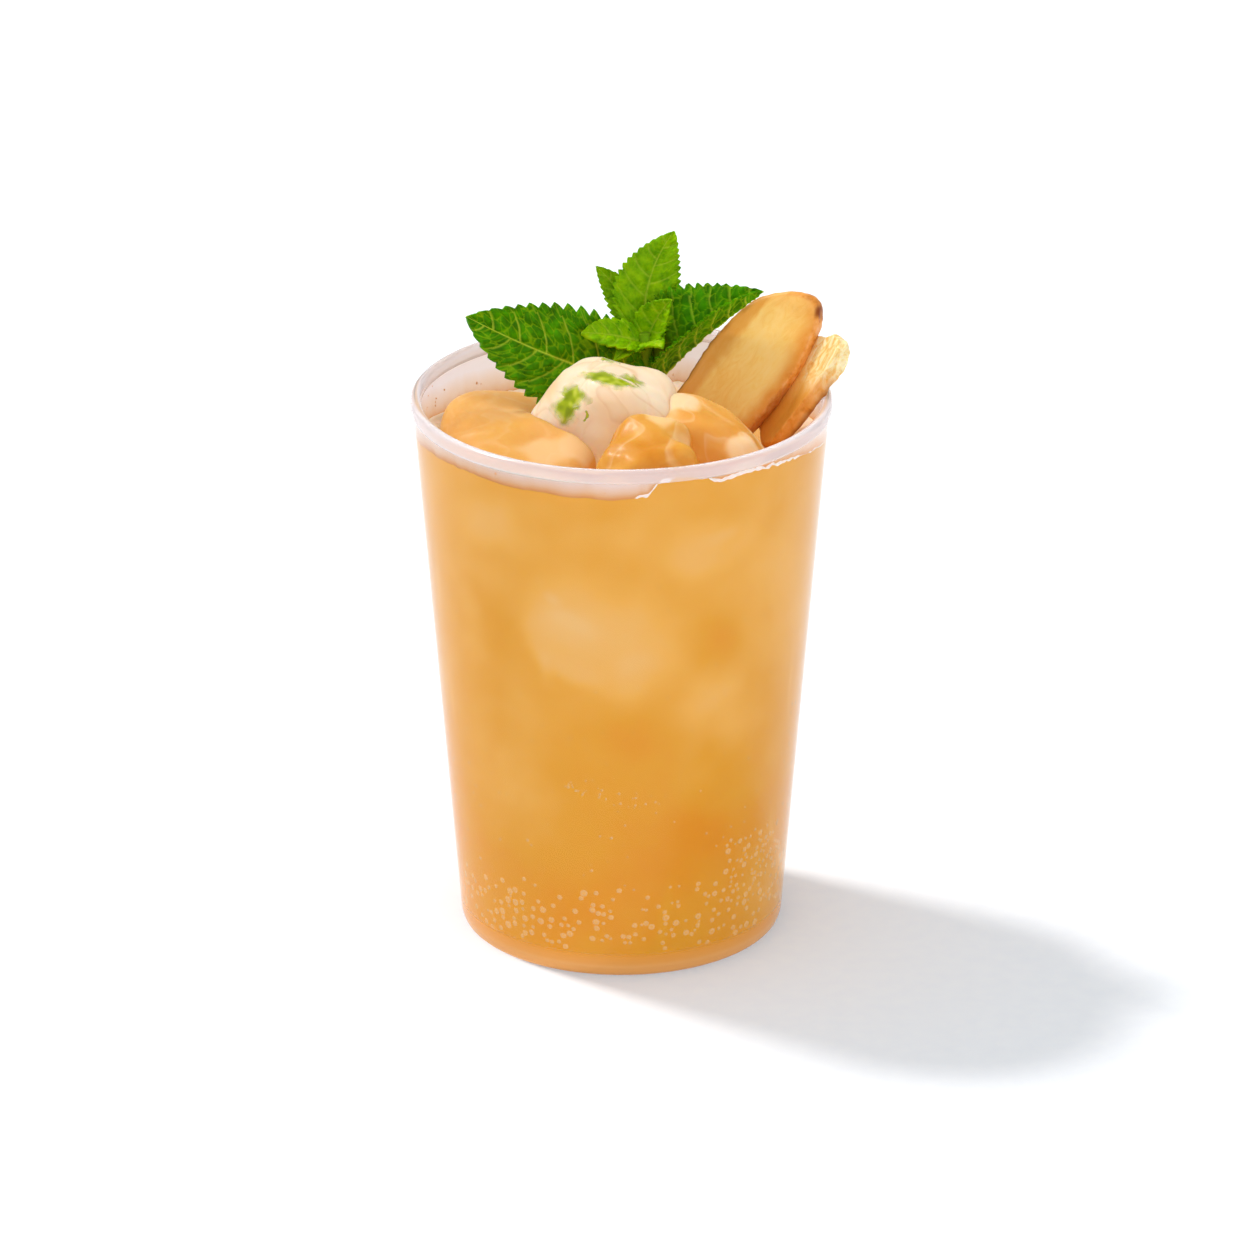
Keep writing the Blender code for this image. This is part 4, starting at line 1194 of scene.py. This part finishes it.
def leaf_piece(name, finish, base, tip, facing, width, lean, arch, sway, fold, wave, teeth, pairs, youth):
    """A mint leaf from base to tip: a thin quilted blade, sunk at its veins, with teeth at its edge."""
    span = Vector(tip) - base
    length = span.length
    way = span.normalized()
    side = way.cross(Vector(facing)).normalized()
    normal = side.cross(way)
    turned_up = math.radians(fold)
    columns = int(length / LEAF_STEP)
    rows = 2 * int(width / LEAF_STEP / 2.2)
    seed = length + width
    cell = 2.0 - 0.9 * youth
    upper, lower, veins, nets, bruises = [], [], [], [], []
    for i in range(columns + 1):
        s = i / columns
        rib = base.lerp(Vector(tip), s) + (normal * arch + side * sway) * 4 * s * (1 - s)
        swell = math.sin(math.pi * min(1.0, 0.04 + 0.96 * s**LEAF_BELLY)) ** LEAF_FULLNESS
        for j in range(rows + 1):
            t = 2 * j / rows - 1
            notch = 1 - (s * teeth + 0.35 * math.sin(7 * s) + (0.4 if t > 0 else 0.0)) % 1.0
            tooth = 1 + 0.03 - 0.15 * notch**1.3 * abs(t) ** 3
            half = max(0.5 * width * swell * tooth * (1 + lean * (1 if t > 0 else -1)), 0.25)
            out = abs(t) * half
            rise = (0.12 * abs(t) + 0.13 * t * t) * swell
            phase = pairs * (s - rise) - (0.0 if t > 0 else 0.35)
            to_vein = abs(phase - round(phase)) / pairs * length * 0.8
            side_vein = max(0.0, 1 - to_vein / 0.26) * (1 - abs(t) ** 6)
            rib_vein = max(0.0, 1 - out / (0.45 * (1.2 - s)))
            wobble = noise_of(s * length / 3, out / 3, seed)
            spot = Vector(((s - rise) * length + 0.6 * wobble, math.copysign(out, t) + 0.6 * wobble, seed))
            near, border = noise.voronoi(spot / cell)[0][:2]
            net = max(0.0, 1 - (border - near) / 0.11)
            quilt = 0.55 * math.sin(math.pi * min(1.0, to_vein / 1.6) / 2) * min(1.0, out / 1.5)
            puff = 0.22 * cell * min(1.0, (border - near) / 0.5) ** 0.6
            relief = (quilt * min(1.0, width / 16) + puff) * (1 - 0.5 * t**6)
            lift = out * math.sin(turned_up) + wave * t * t * math.sin(2.3 * math.pi * s + 1.4 * t)
            point = rib + side * (math.copysign(out, t) * math.cos(turned_up)) + normal * lift
            point += normal * (relief - 0.3)
            upper.append(point + normal * LEAF_THICKNESS / 2)
            lower.append(point - normal * LEAF_THICKNESS / 2)
            veins.append(max(0.75 * side_vein, rib_vein) * (1 - 0.6 * youth))
            nets.append(0.8 * net * (1 - 0.3 * youth))
            low_flap = smoothstep(0.1, -0.5, t) * smoothstep(0.55, 0.15, s) * (name == "leaf_right")
            bruises.append(0.8 * low_flap * (0.8 + 0.5 * wobble))
    under = len(upper)
    stride = rows + 1
    faces = []
    for a in (i * stride + j for i in range(columns) for j in range(rows)):
        b, c, d = a + 1, a + stride + 1, a + stride
        faces += [(a, b, c, d), (under + d, under + c, under + b, under + a)]
    rim = [i * stride for i in range(columns)] + [columns * stride + j for j in range(rows)]
    rim += [i * stride + rows for i in range(columns, 0, -1)] + list(range(rows, 0, -1))
    faces += [(a, b, under + b, under + a) for a, b in zip(rim, rim[1:] + rim[:1])]
    values = {"vein": veins * 2, "net": nets * 2, "bruise": bruises * 2, "young": [youth] * 2 * under}
    points = [tuple(p) for p in upper + lower]
    add_piece(name, points, faces, [finish], "mint", nodes=["mint_sprig"], values=values, sharp=70)


def make_mint(settings):
    finish = mint_material(settings)
    for name, shape in LEAVES.items():
        leaf_piece(name, finish, *shape)
    bend = LOW_NODE.lerp(TOP_NODE, 0.4) + Vector((-0.8, 0, 0))
    route = smooth_curve([STEM_FOOT, STEM_FOOT.lerp(LOW_NODE, 0.5), LOW_NODE, bend, TOP_NODE, STEM_END], 8)
    rings = []
    for i, centre in enumerate(route):
        way = heading(route, i)
        right = way.cross(Vector((0, 1, 0))).normalized()
        back = right.cross(way)
        swollen = sum(0.35 * math.exp(-(((centre.z - n.z) / 1.2) ** 2)) for n in (LOW_NODE, TOP_NODE))
        radius = STEM_RADIUS + swollen
        ways = [right * squared(math.cos(t)) + back * squared(math.sin(t)) for t in full_turn(STEM_SIDES)]
        rings.append([tuple(centre + out * radius) for out in ways])
    points, faces = closed_grid(rings, route[0], route[-1] + Vector((0, 0, 0.4)))
    values = {key: [value] * len(points) for key, value in (("vein", 0.25), ("net", 0.0), ("young", 0.35))}
    add_piece("mint_stem", points, faces, [finish], "mint", nodes=["mint_sprig"], values=values)


def squared(share):
    """Pulls a circle's cosine or sine towards a square's, as a mint stem is four-sided."""
    return math.copysign(abs(share) ** 0.8, share)


# Stage

CAMERA_DISTANCE = 1.65
CAMERA_HEIGHT_ANGLE = 22.82
CAMERA_AIM = Vector((0.0012, 0.0, 0.06715))
PICTURE_SIDE = 1254
FOCAL_PIXELS = 7650
TO_KEY = Vector((-0.495, 0.308, 0.812))
TO_SOFTBOX = (0.42, -0.90, 0.0)
FILL_SPREAD = (0.58, 1.52)  # of the fill, away from the softbox and towards it
SHADE_GLOW = 0.105  # cool light that the paper gives back in the shadow


def stage_object(name, data):
    made = bpy.data.objects.new(name, data)
    bpy.context.scene.collection.objects.link(made)
    return made


def make_stage(settings):
    scene = bpy.context.scene
    scene.view_settings.view_transform = "Standard"
    lens = bpy.data.cameras.new("photo_camera")
    lens.sensor_width = 36.0
    lens.lens = FOCAL_PIXELS * lens.sensor_width / PICTURE_SIDE
    lens.clip_end = 20.0
    camera = stage_object("photo_camera", lens)
    rise = math.radians(CAMERA_HEIGHT_ANGLE)
    camera.location = CAMERA_AIM + Vector((0, -math.cos(rise), math.sin(rise))) * CAMERA_DISTANCE
    camera.rotation_euler = (math.pi / 2 - rise, 0, 0)
    scene.camera = camera

    floor_mesh = bpy.data.meshes.new("studio_floor")
    reach = settings.floor / 2
    corners = [(-reach, -reach, 0), (reach, -reach, 0), (reach, reach, 0), (-reach, reach, 0)]
    floor_mesh.from_pydata(corners, [], [(0, 1, 2, 3)])
    paper, tree = new_material("white_paper_sweep")
    tooth = add_node(tree, "TexNoise", {"Scale": per_metre(4), "Detail": 3.0})
    tone = add_node(tree, "ValToRGB", {0: tooth}, stops=[(0.3, "#F5F5F5"), (0.7, "#F8F8F8")])
    sheet = add_node(tree, "BsdfPrincipled", {
        "Base Color": tone, "Roughness": 0.9, "Specular IOR Level": 0.0,
        "Emission Color": (0.0, 0.5, 1.0, 1.0), "Emission Strength": SHADE_GLOW,
    })
    floor_mesh.materials.append(finished(paper, sheet))
    stage_object("studio_floor", floor_mesh)

    key = bpy.data.lights.new("key_light", "SUN")
    key.energy = settings.key
    key.angle = math.radians(settings.softness)
    stage_object("key_light", key).rotation_euler = TO_KEY.to_track_quat("Z", "Y").to_euler()

    world = bpy.data.worlds.new("white_studio")
    world.use_nodes = True
    sky = world.node_tree
    way = add_node(sky, "TexCoord").outputs["Generated"]
    to_softbox = add_node(sky, "VectorMath", {0: way, 1: TO_SOFTBOX}, operation="DOT_PRODUCT")
    least, most = (settings.fill * share for share in FILL_SPREAD)
    softbox = add_node(sky, "MapRange", {
        0: to_softbox.outputs["Value"], 1: -1.0, 2: 1.0, 3: least, 4: most,
    })
    sky.links.new(softbox.outputs[0], sky.nodes["Background"].inputs[1])
    sky.nodes["Background"].inputs[0].default_value = (1, 1, 1, 1)
    scene.world = world


# Settings, operators and panel


def colour_property(name, description, default):
    return FloatVectorProperty(
        name=name, description=description, default=linear(default)[:3], subtype="COLOR", min=0, max=1
    )


def share_property(name, description, default):
    return FloatProperty(name=name, description=description, default=default, subtype="FACTOR", min=0, max=1)


class CupSettings(bpy.types.PropertyGroup):
    colour: colour_property("Plastic", "Colour of the clear plastic", "#FBF4F3")
    haze: share_property("Haze", "Share of milkiness in the plastic", 0.005)


class DrinkSettings(bpy.types.PropertyGroup):
    deep: colour_property("Deep", "Colour where most drink lies behind the wall", "#DE8E08")
    middle: colour_property("Middle", "Colour of most of the drink", "#DF9C20")
    light: colour_property("Light", "Colour near the surface", "#E8AC48")
    pale: colour_property("Pale", "Colour before sunk ice", "#EABA70")


class IceSettings(bpy.types.PropertyGroup):
    cracks: share_property("Cracks", "How much the cracks show", 0.8)


class GingerSettings(bpy.types.PropertyGroup):
    flesh: colour_property("Flesh", "Colour of the cut flesh", "#F7C76C")


class MintSettings(bpy.types.PropertyGroup):
    blade: colour_property("Blade", "Colour of the grown leaves", "#438600")


class StageSettings(bpy.types.PropertyGroup):
    floor: FloatProperty(name="Floor", description="Side of the floor", default=8.0, unit="LENGTH", min=1)
    key: FloatProperty(name="Key light", description="Strength of the key light", default=1.95, min=0)
    softness: FloatProperty(
        name="Softness", description="How wide the key light looks, in degrees", default=9.0, min=0
    )
    fill: FloatProperty(name="Fill", description="Brightness of the white surroundings", default=0.73, min=0)


class DrinkScene(bpy.types.PropertyGroup):
    cup: PointerProperty(type=CupSettings)
    drink: PointerProperty(type=DrinkSettings)
    ice: PointerProperty(type=IceSettings)
    ginger: PointerProperty(type=GingerSettings)
    mint: PointerProperty(type=MintSettings)
    stage: PointerProperty(type=StageSettings)


class GINGER_DRINK_OT_stage(bpy.types.Operator):
    """Build the floor, the light and the camera"""

    bl_idname = "ginger_drink.stage"
    bl_label = "Stage"

    def execute(self, context):
        make_stage(context.scene.ginger_drink.stage)
        return {"FINISHED"}


class GINGER_DRINK_OT_cup(bpy.types.Operator):
    """Build the cup"""

    bl_idname = "ginger_drink.cup"
    bl_label = "Cup"

    def execute(self, context):
        make_cup(context.scene.ginger_drink.cup)
        return {"FINISHED"}


class GINGER_DRINK_OT_drink(bpy.types.Operator):
    """Build the drink"""

    bl_idname = "ginger_drink.drink"
    bl_label = "Drink"

    def execute(self, context):
        make_drink(context.scene.ginger_drink.drink)
        return {"FINISHED"}


class GINGER_DRINK_OT_froth(bpy.types.Operator):
    """Build the bubbles, the froth and the pulp"""

    bl_idname = "ginger_drink.froth"
    bl_label = "Bubbles, froth and pulp"

    def execute(self, context):
        make_bubbles()
        make_froth()
        make_pulp()
        return {"FINISHED"}


class GINGER_DRINK_OT_ice(bpy.types.Operator):
    """Build the lumps of ice"""

    bl_idname = "ginger_drink.ice"
    bl_label = "Ice"

    def execute(self, context):
        make_ice(context.scene.ginger_drink.ice)
        return {"FINISHED"}


class GINGER_DRINK_OT_ginger(bpy.types.Operator):
    """Build the slices of ginger"""

    bl_idname = "ginger_drink.ginger"
    bl_label = "Ginger"

    def execute(self, context):
        make_ginger(context.scene.ginger_drink.ginger)
        return {"FINISHED"}


class GINGER_DRINK_OT_mint(bpy.types.Operator):
    """Build the sprig of mint"""

    bl_idname = "ginger_drink.mint"
    bl_label = "Mint"

    def execute(self, context):
        make_mint(context.scene.ginger_drink.mint)
        return {"FINISHED"}


OPERATORS = (
    GINGER_DRINK_OT_stage, GINGER_DRINK_OT_cup, GINGER_DRINK_OT_drink, GINGER_DRINK_OT_froth,
    GINGER_DRINK_OT_ice, GINGER_DRINK_OT_ginger, GINGER_DRINK_OT_mint,
)


class GINGER_DRINK_PT_panel(bpy.types.Panel):
    bl_label = "Ginger drink"
    bl_space_type = "VIEW_3D"
    bl_region_type = "UI"
    bl_category = "Ginger drink"

    def draw(self, context):
        for operator in OPERATORS:
            self.layout.operator(operator.bl_idname)


SETTINGS = (CupSettings, DrinkSettings, IceSettings, GingerSettings, MintSettings, StageSettings, DrinkScene)
CLASSES = (*SETTINGS, *OPERATORS, GINGER_DRINK_PT_panel)


def register():
    for made in CLASSES:
        bpy.utils.register_class(made)
    bpy.types.Scene.ginger_drink = PointerProperty(type=DrinkScene)


def unregister():
    del bpy.types.Scene.ginger_drink
    for made in reversed(CLASSES):
        bpy.utils.unregister_class(made)


def main():
    for startup in ("Cube", "Light", "Camera"):
        if startup in bpy.data.objects:
            bpy.data.objects.remove(bpy.data.objects[startup], do_unlink=True)
    register()
    bpy.ops.ginger_drink.stage()
    bpy.ops.ginger_drink.cup()
    bpy.ops.ginger_drink.drink()
    bpy.ops.ginger_drink.froth()
    bpy.ops.ginger_drink.ice()
    bpy.ops.ginger_drink.ginger()
    bpy.ops.ginger_drink.mint()


if __name__ == "__main__":
    main()
